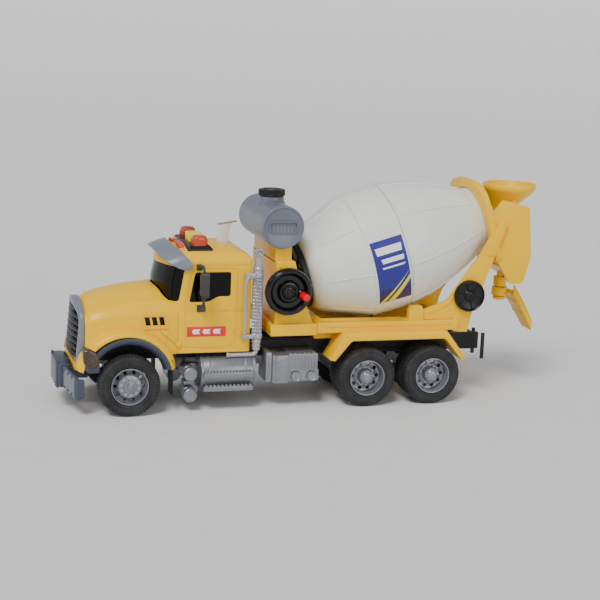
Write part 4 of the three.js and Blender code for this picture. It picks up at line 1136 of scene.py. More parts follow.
BONNET_STATIONS = (
    # x, bottom, half width, belt z, shoulder (y, z), crown (y, z), top z
    (112.0, 46.3, 38.2, 79.5, 31.0, 88.2, 17, 96.2, 99.3),
    (122.0, 45.2, 38.1, 79.0, 31.0, 87.9, 17, 95.6, 98.6),
    (132.0, 44.0, 38.0, 78.6, 31.0, 87.3, 17, 94.6, 97.4),
    (141.0, 41.0, 37.9, 78.1, 30.8, 86.7, 17, 93.7, 96.3),
    (150.0, 38.0, 37.7, 77.5, 30.5, 85.8, 17, 92.5, 95.0),
    (158.0, 36.0, 37.4, 76.6, 30.2, 84.7, 17, 91.2, 93.6),
    (166.0, 34.0, 37.0, 75.5, 30.0, 83.4, 16.6, 89.6, 92.0),
    (172.0, 34.0, 36.5, 74.5, 29.7, 82.1, 16.2, 88.1, 90.3),
    (177.0, 34.0, 36.0, 73.5, 29.3, 80.8, 15.8, 86.3, 88.2),
    (180.5, 34.0, 35.2, 72.2, 28.6, 79.0, 15.2, 84.2, 85.8),
    (183.0, 34.0, 34.2, 71.0, 27.8, 77.0, 14.6, 81.6, 83.0),
)


def bonnet_ring(station, off):
    """Section of the bonnet, off millimetres inside its skin."""
    x, bottom, half, belt, sy, sz, cy, cz, top = station
    left = [(half - off, bottom - 3 * off), (half - off + 0.25, (bottom + belt) / 2),
            (half - off + 0.4, belt - 0.2, 0.4), (half - off - 1.0, belt + 0.5, 0.4),
            (half - 3.0 - off, belt + 4.0, 2), (sy - off, sz - off, 0.9),
            (sy - 2.2, sz + 0.9 - off, 0.9), (cy, cz - off, 4), (0, top - off, 8)]
    return [(x, a, b) for a, b in rounded(symmetric(left), 5)]


def add_bonnet():
    outer = Shape()
    outer.loft([bonnet_ring(s, 0) for s in BONNET_STATIONS])
    skin = temporary(outer)
    room = Shape()
    inner = [bonnet_ring(s, 2.0) for s in BONNET_STATIONS]
    inner[0] = [(110.0, y, z) for _, y, z in inner[0]]
    inner[-1] = [(181.0, y, z) for _, y, z in inner[-1]]
    room.loft(inner)
    wells = []
    for low, high in ((20, 60), (-60, -20)):
        well = Shape()
        well.disc(33.6, low, high, (ARCH[0], 0, ARCH[1]), steps=96, edge=0.01)
        wells.append(well)
    cab_space = Shape()
    rings = [cab_ring(82 + (103 - 82) * i / 6, -0.3) for i in range(7)]
    cab_space.loft(rings)
    vents = Shape()
    for sign in (1, -1):
        low, high = span(sign, 34, 42)
        for k in range(3):
            x = 121.6 + k * 5.6
            vents.prism([(x, 69.0, 0.5), (x + 3.9, 69.0, 0.5), (x + 5.3, 75.8, 0.7), (x + 1.6, 75.8,
                                                                                      0.9)], low, high)
    carved(skin, room, *wells, cab_space, vents)
    softened(skin, 0.22, 2, 50)
    shape = reopened(skin)
    profile = [(41.2, 35.4), (40.9, 38.4), (40.4, 41.0), (39.6, 43.2), (38.4, 44.9), (36.9, 46.0),
               (35.6, 46.4),
               (34.9, 46.2), (34.75, 45.0), (34.75, 39.9), (36.5, 38.0), (38.0, 35.4)]
    for sign in (1, -1):
        section = profile if sign > 0 else [(r, -y) for r, y in profile]
        def taper(angle, _, r, y):
            t = max(0.0, (abs(angle - math.pi / 2) - 1.05) / 0.27)
            return r - min(t, 1) ** 2 * 1.2 * (1 if r > 36 else 0), y
        shape.lathe(section, (ARCH[0] + 1.2, 0, ARCH[1]), steps=72, arc=(math.radians(13.5),
                                                                         math.radians(166.5)),
                    wave=taper)
        low, high = span(sign, 37.2, 39.5)
        border = [(119.2, 66.8, 1.2), (138.8, 66.8, 1.2), (140.8, 78.0, 1.8), (121.4, 78.0, 2.4)]
        add_frame(shape, rounded(border, 4), rounded(inset(border, 1.5), 4), low, high)
        for k in (1, 2):
            x = 121.6 + k * 5.6 - 1.55
            shape.prism([(x, 68.2), (x + 1.4, 68.2), (x + 2.9, 76.6), (x + 1.5, 76.6)], low,
                        high - 0.6 * (sign > 0),
                        bevel=0.3)
        strap = turn_to((117.4, sign * 38.7, 59.4), (0.76, 0, 0.65), (0, sign, 0))
        part = Shape(matrix=strap)
        part.prism(rect(-1.3, 1.3, -0.9, 1.1, 0.6), -9.5, 9.5, "Z", bevel=0.5)
        part.prism(rect(-2.0, 2.0, -0.9, 1.4, 0.8), -10.5, -6.5, "Z", bevel=0.5)
        part.prism(rect(-1.8, 1.8, -0.9, 1.3, 0.8), 3.0, 5.6, "Z", bevel=0.4)
        shape.join(part)
        shape.prism([(179.5, 36.6, 1), (184.4, 36.6, 1), (184.2, 50, 2), (182.5, 57, 2),
                     (179.5, 57)],
                    *span(sign, 33.5, 36.5), bevel=0.5)
    shape.prism([(181, -32), (181, 32), (190.5, 31.5, 1), (190.5, -31.5, 1)], 33.8, 37.4, "Z",
                bevel=0.5)
    piece(shape, "bonnet_body", "bonnet", YELLOW, 30)
    # black plates just inside the vent holes: painted shade of the bonnet's inside
    dark = Shape()
    for sign in (1, -1):
        low, high = span(sign, 33.6, 35.2)
        dark.box(121, 139, low, high, 68, 77, 0.2)
    extra(dark, "vent_painted_shade", "truck", BLACK)


def add_arch_trims():
    for side, mirror in SIDES:
        trim = Shape(mirror)
        section = [(34.3, 40.0), (34.3, 47.4), (34.0, 48.2), (33.2, 48.5), (32.0, 48.3),
                   (30.6, 47.5), (29.6, 46.4),
                   (28.9, 45.0), (28.4, 42.5), (28.4, 38.5), (29.4, 38.0), (30.4, 40.0)]
        trim.lathe(section, (ARCH[0], 0, ARCH[1]), steps=80, arc=(math.radians(18.5),
                                                                  math.radians(163)))
        trim.lathe(rect(31.2, 31.7, 48.2, 48.5), (ARCH[0], 0, ARCH[1]), steps=60,
                   arc=(math.radians(40), math.radians(160)))
        trim.prism([(173.4, 35.0, 2), (183.4, 35.2, 3), (185.0, 40.0, 2), (183, 42.5),
                    (173.6, 42.5, 1)], 36, 48.5,
                   bevel=0.7, segments=3)
        piece(trim, f"arch_lip_{side}", f"arch_trim_{side}", DARK_GREY)
        outline = [(173.4, 43.0, 3), (176.4, 38.8, 3), (182.6, 38.8, 2), (186.2, 43.0, 3),
                   (186.6, 53.0, 2),
                   (181.6, 54.6, 2), (174.6, 50.6, 4)]
        lamp = Shape(mirror)
        rings = []
        for y, s in ((36.0, 0.6), (44.5, 0.2), (47.2, 0.0), (48.4, 0.3), (49.0, 0.9), (49.3, 2.0),
                     (49.4, 3.4)):
            rings.append([(x, y, z) for x, z in rounded(inset(outline, s), 5)])
        lamp.loft(rings)
        lamp.lathe([(3.3, 48.9), (3.8, 48.9), (3.8, 49.6), (3.55, 49.75), (3.3, 49.6)],
                   (180.4, 0, 45.2), steps=40)
        lamp.lathe([(0, 49.0), (1.3, 49.0), (1.2, 49.6), (0.6, 49.85), (0, 49.85)],
                   (180.4, 0, 45.2), steps=24,
                   loop=False)
        piece(lamp, f"headlamp_lens_{side}", f"headlamp_{side}", SMOKE)


GRILLE_X, GRILLE_HALF = 193.5, 33
BAR_SECTION = ((4.6, -0.4), (1.4, -0.4), (0.5, 0.3), (0.4, 0.9), (0.9, 1.5), (4.6, 2.9))


def grille_x(y, z, back=0.0):
    """Bowed front plane of the grille."""
    return GRILLE_X - 4.6 * (y / GRILLE_HALF) ** 2 - 0.08 * z + 3.2 - back


def add_grille():
    outline = symmetric([(33, 37.8, 2), (33, 72, 6), (27.5, 80, 5), (14, 84.6, 5), (0, 86, 8)])
    shape = Shape()
    rings = []
    for distance, back in ((0.2, 12.0), (0.0, 6.0), (0.0, 1.6), (0.35, 0.7), (0.9, 0.25),
                           (1.6, 0.05), (3.4, 0.0),
                           (4.1, 0.3), (4.5, 0.9), (4.6, 1.8), (4.6, 4.5)):
        points = rounded(inset(outline, distance) if distance else outline, 6)
        ring = []
        for a, b in points:
            x = grille_x(a, b, back)
            ring.append((max(x, 183.4), a, b))
        rings.append(ring)
    shape.loft(rings + [rings[0]], caps=False)
    piece(shape, "grille_rim", "grille_surround", BLUE_GREY)

    opening = inset(outline, 4.75)
    bars = Shape()
    back = rounded(opening, 6)
    bars.loft([[(grille_x(a, b, 5.4), a, b) for a, b in back], [(grille_x(a, b, 4.2), a, b) for a,
                                                                b in back]])

    def reach(z):
        """Half width of the opening at one height."""
        best = 28.2
        if z > 68:
            for (a, b), (c, d) in zip(back, back[1:]):
                if a > 0 and c >= 0 and min(b, d) <= z <= max(b, d) and abs(b - d) > 1e-6:
                    best = a + (c - a) * (z - b) / (d - b)
        return min(best, 28.2)
    for i in range(8):
        z = 43.2 + i * 4.85
        half = reach(z + 2.0) - 0.2
        rings = []
        for k in range(15):
            y = -half + 2 * half * k / 14
            rings.append([(grille_x(y, z, deep), y, z + rise) for deep, rise in BAR_SECTION])
        bars.loft(rings)
    for y in (-18.8, -9.4, 0, 9.4, 18.8):
        bars.prism(rect(y - 0.45, y + 0.45, 42.8, 80.2 - abs(y) * 0.25),
                   grille_x(y, 60, 4.4), grille_x(y, 80, 1.4), "X", bevel=0.15)
    piece(bars, "grille_bars", "grille", BLACK)


# ---- roof equipment, mirrors and exhaust ---------------------------------------------------


def slab_ring(x0, x1, y0, y1, z, radius, shrink=0.0):
    """Rounded rectangle at a height, drawn inward by shrink."""
    x0, x1, y0, y1 = x0 + shrink, x1 - shrink, y0 + shrink, y1 - shrink
    corner = max(radius - shrink, 0.2)
    outline = rounded(rect(x0, x1, y0, y1, corner), 5)
    return [(a, b, z) for a, b in outline]


def add_sun_visor():
    front = ((0, 127, 124.7), (10, 126.9, 124.4), (20, 126.2, 123.5), (30, 124.6, 121.8),
             (36, 121.8, 119.4),
             (39.6, 117.4, 116.8), (41.2, 112.6, 114.2), (41.4, 108.4, 112.8), (41.4, 105.2, 112.3))
    rear = ((0, 112.4, 129.0), (10, 112.3, 128.8), (20, 111.6, 128.2), (30, 110.0, 127.0),
            (35.8, 108.0, 124.9),
            (39.2, 105.0, 121.6), (40.8, 102.4, 118.6), (41.4, 101.5, 115.6), (41.4, 102.9, 112.9))
    rows = []
    for low, high in zip(spline(front, 4), spline(rear, 4)):
        rows.append([(low.y + (high.y - low.y) * t, low.x + (high.x - low.x) * t,
                      low.z + (high.z - low.z) * t + 2.2 * t * (1 - t)) for t in [k / 10 for k in range(11)]])
    rows = rows[::-1] + [[(x, -y, z) for x, y, z in row] for row in rows[1:]]
    shape = Shape()
    shape.sheet(rows, 1.6, bevel=0.35, segments=3, angle=50)
    piece(shape, "visor", "sun_visor", VISOR_GREY, 40)


def add_light_bar():
    shape = Shape()
    size = (83.5, 103.5, -31, 31)
    steps = ((122.2, 0), (126.7, 0), (127.3, 0.25), (129.3, 2.0), (129.7, 2.5))
    shape.loft([slab_ring(*size, z, 1.4, s) for z, s in steps])
    bar = temporary(shape)
    pockets = Shape()
    pockets.prism(rect(85.8, 98.7, -8.7, 8.7, 1), 115, 140, "Z")
    for y in (-22, 22):
        pockets.prism(rect(86.4, 99.6, y - 6.8, y + 6.8, 2), 128.6, 140,
                      "Z")
    carved(bar, pockets)
    softened(bar, 0.3, 2, 30)
    shape = reopened(bar)
    for sign in (1, -1):
        for x in (88, 93, 98):
            shape.box(x - 0.5, x + 0.5, *span(sign, 29.3, 30.6), 125, 128.6, 0.2)
    piece(shape, "beacon_bar", "light_bar", BLACK)


def add_beacons():
    ribs = 26

    def block(angle, _, r, z):
        c, s = abs(math.cos(angle)), abs(math.sin(angle))
        square = (c ** 3.6 + s ** 3.6) ** (-1 / 3.6)
        r *= 1 + (square - 1) * 0.85
        if 129.8 < z < 133.9:
            r += 0.42 * max(0.0, math.cos(ribs * angle))
        return r, z

    profile = [(0, 128.2), (6.0, 128.2), (6.3, 128.6), (6.3, 129.3), (6.0, 129.6), (5.95, 129.9),
               (5.95, 131.2),
               (5.9, 132.5), (5.85, 133.7), (5.8, 134.2), (5.65, 135.2), (5.2, 136.1),
               (4.4, 136.75), (3.2, 137.1),
               (1.6, 137.25), (0, 137.3)]
    for side, mirror in SIDES:
        shape = Shape(mirror)
        shape.lathe(profile, (93, 22, 0), "Z", steps=ribs * 6, loop=False, wave=block)
        piece(shape, f"beacon_lens_{side}", f"beacon_{side}", AMBER, 50)


def add_sound_button():
    shape = Shape()
    size = (86.3, 98.2, -8.2, 8.2)
    steps = ((123.6, 0), (134.6, 0), (135.3, 0.15), (135.65, 0.5), (135.8, 1.1))
    shape.loft([slab_ring(*size, z, 1.3, s) for z, s in steps])
    shape.box(84, 100.5, -10.5, 10.5, 122.4, 124.2, 0.4)
    shape.prism(rect(91.6, 94.2, -5.2, 5.2, 0.5), 135.5, 136.0, "Z",
                bevel=0.2)
    piece(shape, "sound_button_cap", "sound_button", LEMON)
    coil = Shape()
    turns, bottom, top = 6, 110.6, 121.7
    count = turns * 14
    route = [(92.2 + 3.5 * math.cos(math.tau * turns * k / count),
              3.5 * math.sin(math.tau * turns * k / count),
              bottom + (top - bottom) * k / count) for k in range(count + 1)]
    coil.tube(route, 0.42, 8, 1, bevel=0.1)
    spring = piece(coil, "button_return_spring", "button_spring", STEEL, 60)
    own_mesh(spring)


def add_marker_lamps():
    shape = Shape()
    for sign in (1, -1):
        near, far = 4.2 * sign, 19.8 * sign
        outline = [(near, 126, 0), (far, 124.5, 0), (far, 129.1, 1.2), (near, 130.5, 1.2)]
        shape.prism(outline, 104.9, 109.2, "X", bevel=0.7, segments=3)
        for k in range(3):
            y = sign * (7.0 + 4.6 * k)
            z = 130.3 - 0.09 * abs(y)
            shape.prism([(y - 1.5, z - 1), (y + 1.5, z - 1), (y + 0.9, z + 0.25, 0.5),
                         (y - 0.9, z + 0.25, 0.5)],
                        105.3, 109.0, "X", bevel=0.25)
        shape.box(106.4, 108.4, *span(sign, 8, 16), 121, 127, 0.2)
    shape.box(105.8, 109, -21, 21, 118.5, 121.3, 0.4)
    piece(shape, "roof_marker_lamps", "marker_lamps", MARKER)


def add_sound_module():
    shape = Shape()
    shape.prism(rect(80, 104.5, -15, 15, 1), 108, 109.6, "Z", bevel=0.15)
    for x, y, wide, deep, tall in ((96, 9, 5, 4, 1.6), (88, -9, 6, 3, 1.2), (98, -8, 3, 5, 1.4),
                                   (84, 8, 3, 3, 1.0)):
        shape.box(x - wide / 2, x + wide / 2, y - deep / 2, y + deep / 2, 109.4, 109.6 + tall, 0.2,
                  slot=2)
    for k in range(3):
        x = 84.2 + 5.35 * k
        shape.disc(5.7, x, x + 5.0, (0, 0, 102), "X", 0.5, 40, slot=1)
        shape.disc(4.6, x - 0.25, x + 0.4, (0, 0, 102), "X", 0.15, 32, slot=1)
    shape.box(84, 100, -3, 3, 105.5, 108.4, 0.3, slot=2)
    film = [(64.8, 112), (64.8, 129.5), (62.6, 142.2, 2), (60.2, 144.2), (72.6, 142.6),
            (71.4, 140.6, 1), (73.8, 130),
            (74, 112), (80.5, 109.4), (80.5, 108.4), (68, 108.4)]
    shape.prism(film, -0.3, 0.3, slot=3, bevel=0.12)
    shape.tube([(57.9, 0, 144.6), (62.5, 0, 143.9), (69, 0, 143.0), (73.9, 0, 142.2)], 0.75, 12, 4,
               slot=4)
    piece(shape, "sound_board", "sound_module", [BOARD, STEEL, BLACK, FILM, STICK])
    speaker = Shape()
    speaker.lathe([(0, 117), (5.2, 117), (5.4, 117.3), (9.6, 117.3), (10, 117.8), (10, 121.1),
                   (9.7, 121.4), (8.9, 121.4),
                   (8.6, 120.9), (7.6, 120.2), (6.8, 120.5), (6.0, 119.9), (3.2, 118.6),
                   (2.6, 119.2), (1.2, 119.6),
                   (0, 119.7)], (67, -17, 0), "Z", 56, loop=False)
    speaker.lathe([(0, 113.1), (5.1, 113.1), (5.5, 113.5), (5.5, 117.6), (0, 117.6)], (67, -17, 0),
                  "Z", 40, loop=False)
    piece(speaker, "small_speaker", "speaker", BLACK)


def add_mirrors():
    outline = [(48.6, 93.5, 2.4), (56.9, 93.5, 2.8), (56.9, 113, 2.8), (48.6, 113, 2.4)]
    for side, mirror in SIDES:
        shape = Shape(mirror)
        rings = []
        for x, shrink in ((91.5, 0.5), (91.7, 0.0), (95.2, 0.05), (96.8, 0.6), (97.7, 1.5),
                          (98, 2.6)):
            rings.append([(x, y, z) for y, z in rounded([(a, b, max(r - shrink, 0.5)) for a, b, r in
                                                         inset(outline, shrink)], 5)])
        shape.loft(rings)
        face = [(y, z) for y, z in rounded(inset(outline, 1.1), 4)]
        shape.prism(face, 91.35, 92.2, "X", bevel=0.2, slot=1)
        shape.prism(rect(93.7, 98.3, 112, 117, 0.6), 38.8, 40.2, bevel=0.3)
        shape.prism(rect(90.6, 97.4, 79.5, 85, 0.6), 38.8, 40.4, bevel=0.3)
        for x in (92.2, 95.8):
            shape.disc(0.7, 40.2, 40.8, (x, 0, 80.9), edge=0.2, steps=14)
            shape.disc(0.7, 40.2, 40.8, (x, 0, 83.6), edge=0.2, steps=14)
        shape.disc(1.9, 39.8, 42.2, (96, 0, 114.6), edge=0.5, steps=24)
        shape.disc(2.1, 40, 42.6, (94, 0, 82.2), edge=0.5, steps=24)
        shape.tube([(96, 41, 114.8), (95.7, 44.2, 116.2), (95.2, 48.2, 116.6), (94.9, 51.2, 115),
                    (94.8, 52.2, 112)],
                   1.15, 14, 6)
        shape.tube([(94, 41, 82), (94.2, 45, 83.2), (94.5, 49.2, 86.6), (94.7, 51.4, 91),
                    (94.8, 51.8, 95)], 1.15, 14, 6)
        shape.lathe([(1.3, -0.9), (2.0, -0.6), (2.2, 0), (2.0, 0.6), (1.3, 0.9)], (94.8, 52, 93.3),
                    "Z", 20)
        piece(shape, f"side_mirror_{side}", f"mirror_{side}",
              [MIRROR_GREY, GLASS])


def add_exhaust():
    x, y = 48.6, 38
    shape = Shape()
    rows = 96

    def diamonds(angle, _, r, z):
        if 56 < z < 107.5:
            wave_a = math.sin(7 * angle + z * 1.15)
            wave_b = math.sin(7 * angle - z * 1.15)
            r += 0.5 * max(-1.0, min(1.0, 3.0 * wave_a * wave_b)) - 0.05
        return r, z

    guard = [(0, 53.8), (3.75, 53.8)] + [(3.8,
                                          54.4 + 54.2 * k / rows) for k in range(rows + 1)] + [(0,
                                                                                                108.8)]
    shape.lathe(guard, (x, y, 0), "Z", 70, loop=False, wave=diamonds)
    shape.lathe([(0, 47.2), (2.4, 47.2), (3.2, 47.8), (3.25, 50.2), (3.6, 50.5), (3.6, 51.4),
                 (3.3, 51.7), (3.3, 53.4),
                 (3.9, 53.8), (3.9, 55.2), (3.6, 55.6), (0, 55.6)], (x, y, 0), "Z", 40, loop=False)
    shape.lathe([(0, 107.4), (3.6, 107.4), (4.25, 108.1), (4.3, 109.8), (4.0, 110.2), (4.0, 111.4),
                 (4.25, 111.7),
                 (4.25, 113.3), (3.7, 114.1), (2.9, 114.4), (2.75, 115.2), (2.75, 122.4),
                 (0, 122.4)],
                (x, y, 0), "Z", 40, loop=False)
    shape.tube([(x, y, 118), (x, y, 121.4), (x, y, 124.2), (x, y, 126.2)], 2.75, 28, 4)
    mouth = [(0, 35.2), (2.6, 35.2), (3.0, 35.7), (3.05, 40.9), (2.8, 41.4), (2.3, 41.5),
             (2.05, 41.2), (2.0, 39.9),
             (1.0, 39.7), (0.8, 40.3), (0, 40.4)]
    shape.lathe(mouth, (x, 0, 125.6), "Y", 40, loop=False)
    shape.tube([(x, y, 49), (x, y, 46.4), (x + 1.0, y, 44.7), (x + 3.4, y, 43.9), (x + 10, y, 43.9),
                (72, y, 43.9)], 1.85,
               20, 8)
    shape.disc(2.3, 70.2, 72.6, (0, y, 43.9), "X", 0.4, 24)
    shape.tube([(57.0, 43.4, 107.3), (58.8, 43.4, 104.8), (59.6, 43.4, 101), (59.7, 43.4, 92),
                (59.7, 43.4, 74),
                (59.7, 43.4, 58)], 1.3, 16, 6)
    for low, high, reach in ((105, 110, 60.4), (57, 61, 61.8)):
        shape.prism([(x + 3.0, low + 0.6, 0.8), (55, low + 0.4, 0.8), (reach, low, 1.0),
                     (reach, high, 1.0),
                     (55, high - 0.4, 0.8), (x + 3.0, high - 0.6, 0.8)], 39.6, 42.4, bevel=0.4)
        shape.lathe([(0, 42), (1.9, 42), (1.9, 43.6), (1.5, 44.2), (0.8, 44.3), (0, 44.3)],
                    (reach - 2.4, 0, (low + high) / 2), "Y", 24, loop=False)
        shape.disc(1.2, 42.2, 43.3, (x + 5.2, 0, (low + high) / 2), edge=0.3, steps=18)
        middle = (low + high) / 2
        shape.lathe([(3.4, middle - 1.6), (4.5, middle - 1.6), (4.7, middle - 1.2),
                     (4.7, middle + 1.2),
                     (4.5, middle + 1.6), (3.4, middle + 1.6)], (x, y, 0), "Z", 40)
    piece(shape, "exhaust", "exhaust_stack", BRIGHT)


# ---- pedestal, water tank, crank and drum --------------------------------------------------


def add_pedestal():
    body = Shape()
    body.prism([(34, 67), (1.8, 67), (9, 84.4), (18.7, 118), (34, 118)], -38, 38)
    core = temporary(body)
    room = Shape()
    room.prism([(32, 50), (4.6, 50), (4.6, 68.5), (11, 84), (20.6, 116), (32, 116)], -36, 36)
    bore = Shape()
    bore.disc(2.5, -50, 50, (CRANK[0], 0, CRANK[1]), steps=32, edge=0.01)
    drive_bore = Shape(matrix=turn_to(DRUM_ORIGIN, DRUM_AXIS))
    drive_bore.disc(3.6, -68, -50, axis="Z", steps=32, edge=0.01)
    carved(core, room, bore, drive_bore)
    softened(core, 0.7, 3, 25)
    tower = Shape()
    tower.prism(rect(34, 20.5, 116.2, 133), -33, 33)
    post = temporary(tower)
    saddle = Shape()
    saddle.disc(17.35, -50, 50, (TANK[0], 0, TANK[1]), steps=96, edge=0.01)
    hollow = Shape()
    hollow.prism(rect(32, 22.5, 116.5, 127), -31, 31)
    carved(post, saddle, hollow)
    softened(post, 0.6, 3, 30)
    shape = reopened(core)
    shape.join(reopened(post))
    for sign in (1, -1):
        shape.prism(rect(38, -0.2, 58.7, 68, 0.8), *span(sign, 36.2, 42), bevel=0.5)
    shape.box(34.5, 38, -38, 38, 58.7, 68, 0.5)
    shape.box(-0.2, 3.4, -38, 38, 58.7, 67.6, 0.5)
    for sign in (1, -1):
        low, high = span(sign, 32.6, 33.6)
        shape.prism(rect(27.4, 34, 117.4, 130, 0.5), low, high, bevel=0.3)
        low, high = span(sign, 37.5, 38.4)
        shape.prism([(3.2, 67.8), (33.8, 67.8), (33.8, 69.4), (4.0, 69.4)], low, high, bevel=0.3)
        shape.disc(5.2, *span(sign, 37.5, 39.2), (CRANK[0], 0, CRANK[1]), edge=0.5, steps=48)
        for x, z in ((10, 72), (30.5, 72), (30.5, 113.5)):
            shape.disc(1.1, *span(sign, 37.8, 38.5), (x, 0, z), edge=0.2, steps=20)
    piece(shape, "drum_pedestal", "pedestal", YELLOW)


def add_water_tank():
    x, z = TANK
    shape = Shape()
    wall = [(0, -38.0), (14.6, -38.0), (15.1, -38.2), (15.5, -38.8), (16.5, -38.8), (17, -38.2),
            (17, -35.4),
            (16.75, -35.1), (16.75, -34.5), (17, -34.2), (17, 34.2), (16.75, 34.5), (16.75, 35.1),
            (17, 35.4),
            (17, 38.2), (16.5, 38.8), (15.5, 38.8), (15.1, 38.2), (14.6, 38.0), (0, 38.0)]
    shape.lathe(wall, (x, 0, z), "Y", 96, loop=False)
    tank = temporary(shape)
    recess = Shape()
    slot = rect(x - 11.2, x + 10.8, z - 3.9, z + 4.1, 2.6)
    for sign in (1, -1):
        recess.prism(slot, *span(sign, 36.9, 40))
    carved(tank, recess)
    softened(tank, 0.25, 2, 40)
    shape = reopened(tank)
    for sign in (1, -1):
        add_frame(shape, rounded(slot, 5), rounded(inset(slot, -0.9), 5), *span(sign, 38.0, 38.75))
        for k in range(7):
            place = x - 9.0 + 2.95 * k
            shape.box(place - 0.35, place + 0.35, *span(sign, 36.6, 37.15), z - 3.2, z + 3.4, 0.15)
    neck = ((158, 11.6), (160.2, 10.9), (161, 10.2), (164.2, 10), (164.9, 9.7), (165.2, 9.2))
    rings = []
    for height, radius in neck:
        ring = []
        for k in range(64):
            angle = math.tau * k / 64
            flare = max(0.0, 1 - (height - 158) / 3.4) * abs(math.sin(angle))
            ring.append((x + radius * math.cos(angle), (radius + flare) * math.sin(angle), height))
        rings.append(ring)
    shape.loft(rings)
    shape.box(x - 1.4, x + 1.4, -33.5, -11.5, 161.2, 162.6, 0.4)
    shape.box(x - 1.4, x + 1.4, 11.5, 33.5, 161.2, 162.6, 0.4)
    piece(shape, "water_tank_body", "water_tank", TANK_GREY)
    knurls = 40

    def grip(angle, _, r, h):
        if r > 10 and 166.2 < h < 169.7:
            r -= 0.35 * (0.5 + 0.5 * math.cos(knurls * angle))
        return r, h

    cap = Shape()
    cap.lathe([(8.8, 165.6), (10.5, 165.6), (10.8, 165.9), (10.8, 166.3), (10.8, 167.4),
               (10.8, 168.6), (10.8, 169.6),
               (10.75, 169.9), (10.3, 170.4), (9.6, 170.6), (7.4, 170.4), (7.0, 170.0),
               (5.2, 170.0), (4.9, 170.4),
               (0, 170.5), (0, 168.6), (8.8, 168.6)], (x, 0, 0), "Z", knurls * 6, wave=grip)
    for turn in (0, math.pi / 3, math.tau / 3):
        c, s = math.cos(turn) * 6.8, math.sin(turn) * 6.8
        cap.tube([(x - c, -s, 170.2), (x, 0, 170.2), (x + c, s, 170.2)], 0.35, 8, 2)
    piece(cap, "tank_cap", "filler_cap", BLACK)


def add_crank():
    centre = (CRANK[0], 0, CRANK[1])
    knob_x, knob_z = CRANK[0] - 11.8, CRANK[1] - 3.2
    shape = Shape()
    shape.lathe([(2.3, 41.2), (7.4, 41.2), (7.8, 42.6), (12.6, 42.8), (13.4, 41.6), (15.2, 41.0),
                 (17.3, 41.2),
                 (18.6, 42.2), (19, 43.9), (18.9, 46.2), (18.2, 47.9), (16.8, 48.8), (15.4, 48.7),
                 (14.5, 47.8),
                 (13.9, 46.0), (12.8, 44.6), (9.4, 44.2), (8.6, 44.9), (8.1, 46.6), (7.5, 47.4),
                 (6.5, 47.7),
                 (5.7, 47.2), (5.3, 46.0), (4.4, 45.4), (2.3, 45.4)], centre, steps=96)
    shape.lathe([(0, 44.9), (3.9, 44.9), (4.1, 45.3), (3.6, 45.9), (2.2, 46.2), (0, 46.2)], centre,
                steps=40, loop=False)
    for k in range(5):
        angle = math.tau * k / 5 + 0.3
        c, s = math.cos(angle), math.sin(angle)
        shape.tube([(centre[0] + 1.0 * c, 46.0, centre[2] + 1.0 * s), (centre[0] + 5.0 * c, 46.0,
                                                                       centre[2] + 5.0 * s)],
                   0.5, 8, 2)
    shape.lathe([(1.9, 42.9), (4.4, 42.9), (4.6, 44.2), (4.3, 45.2), (3.9, 45.5), (3.7, 45.3),
                 (1.9, 45.2)],
                (knob_x, 0, knob_z), steps=40)
    piece(shape, "crank_wheel", "handwheel", GLOSS_BLACK)
    knob = Shape()
    knob.lathe([(0, 42.4), (1.3, 42.4), (1.35, 45.7), (3.1, 45.8), (3.35, 46.2), (3.25, 48),
                (3.05, 51.5), (2.9, 54.6),
                (2.8, 55.6), (2.45, 56.3), (1.8, 56.55), (0.9, 56.6), (0.6, 56.35), (0, 56.35)],
               (knob_x, 0, knob_z), steps=48, loop=False)
    for k in range(6):
        a = math.tau * k / 6
        knob.tube([(knob_x + 3.05 * math.cos(a), 47.2, knob_z + 3.05 * math.sin(a)),
                   (knob_x + 2.72 * math.cos(a), 54.4, knob_z + 2.72 * math.sin(a))], 0.28, 8, 2)
    piece(knob, "crank_grip", "crank_knob", RED)


DRUM_WALL = 1.6
DRUM_FRONT = ((-46, 25), (-45.6, 27.6), (-44.4, 30.6), (-42.2, 33.4), (-39.2, 35.6), (-36, 37.2),
              (-30, 39.7),
              (-22, 42.9), (-12, 47), (-4, 50.2), (-0.8, 51.4), (-0.45, 52.3), (0.45, 52.35),
              (0.8, 51.75), (8, 52.15),
              (16, 52.45), (24, 52.75), (29.4, 52.95), (29.8, 53.6), (30.2, 53.7))
DRUM_REAR = ((30.6, 53.7), (31.0, 53.6), (31.4, 52.9), (38, 52.1), (48, 50.2), (58, 47.8),
             (68, 44.4), (78, 40.8),
             (90, 35.6), (99, 31.2), (103, 28.9), (105.5, 28.05), (112, 27.95), (116.6, 27.95),
             (117.4, 28.0),
             (118, 27.7), (118, 26.6))


def drum_radius(s):
    """Outer radius at s millimetres along the drum's axis."""
    return along(DRUM_FRONT + DRUM_REAR, s)


def drum_rib(shape, start, end, angle, height=0.7, width=0.7):
    """Thin raised line along the drum's outer wall."""
    count = max(4, int(abs(end - start) / 2.5))
    rings = []
    for k in range(count + 1):
        s = start + (end - start) * k / count
        base = drum_radius(s)
        lift = height * min(1, k / 1.5, (count - k) / 1.5)
        ring = []
        for reach, side in ((-0.5, -width), (lift * 0.7, -width * 0.6), (lift, 0),
                            (lift * 0.7, width * 0.6),
                            (-0.5, width)):
            turn = angle + side / base
            ring.append(((base + reach) * math.cos(turn), (base + reach) * math.sin(turn), s))
        rings.append(ring)
    shape.loft(rings)


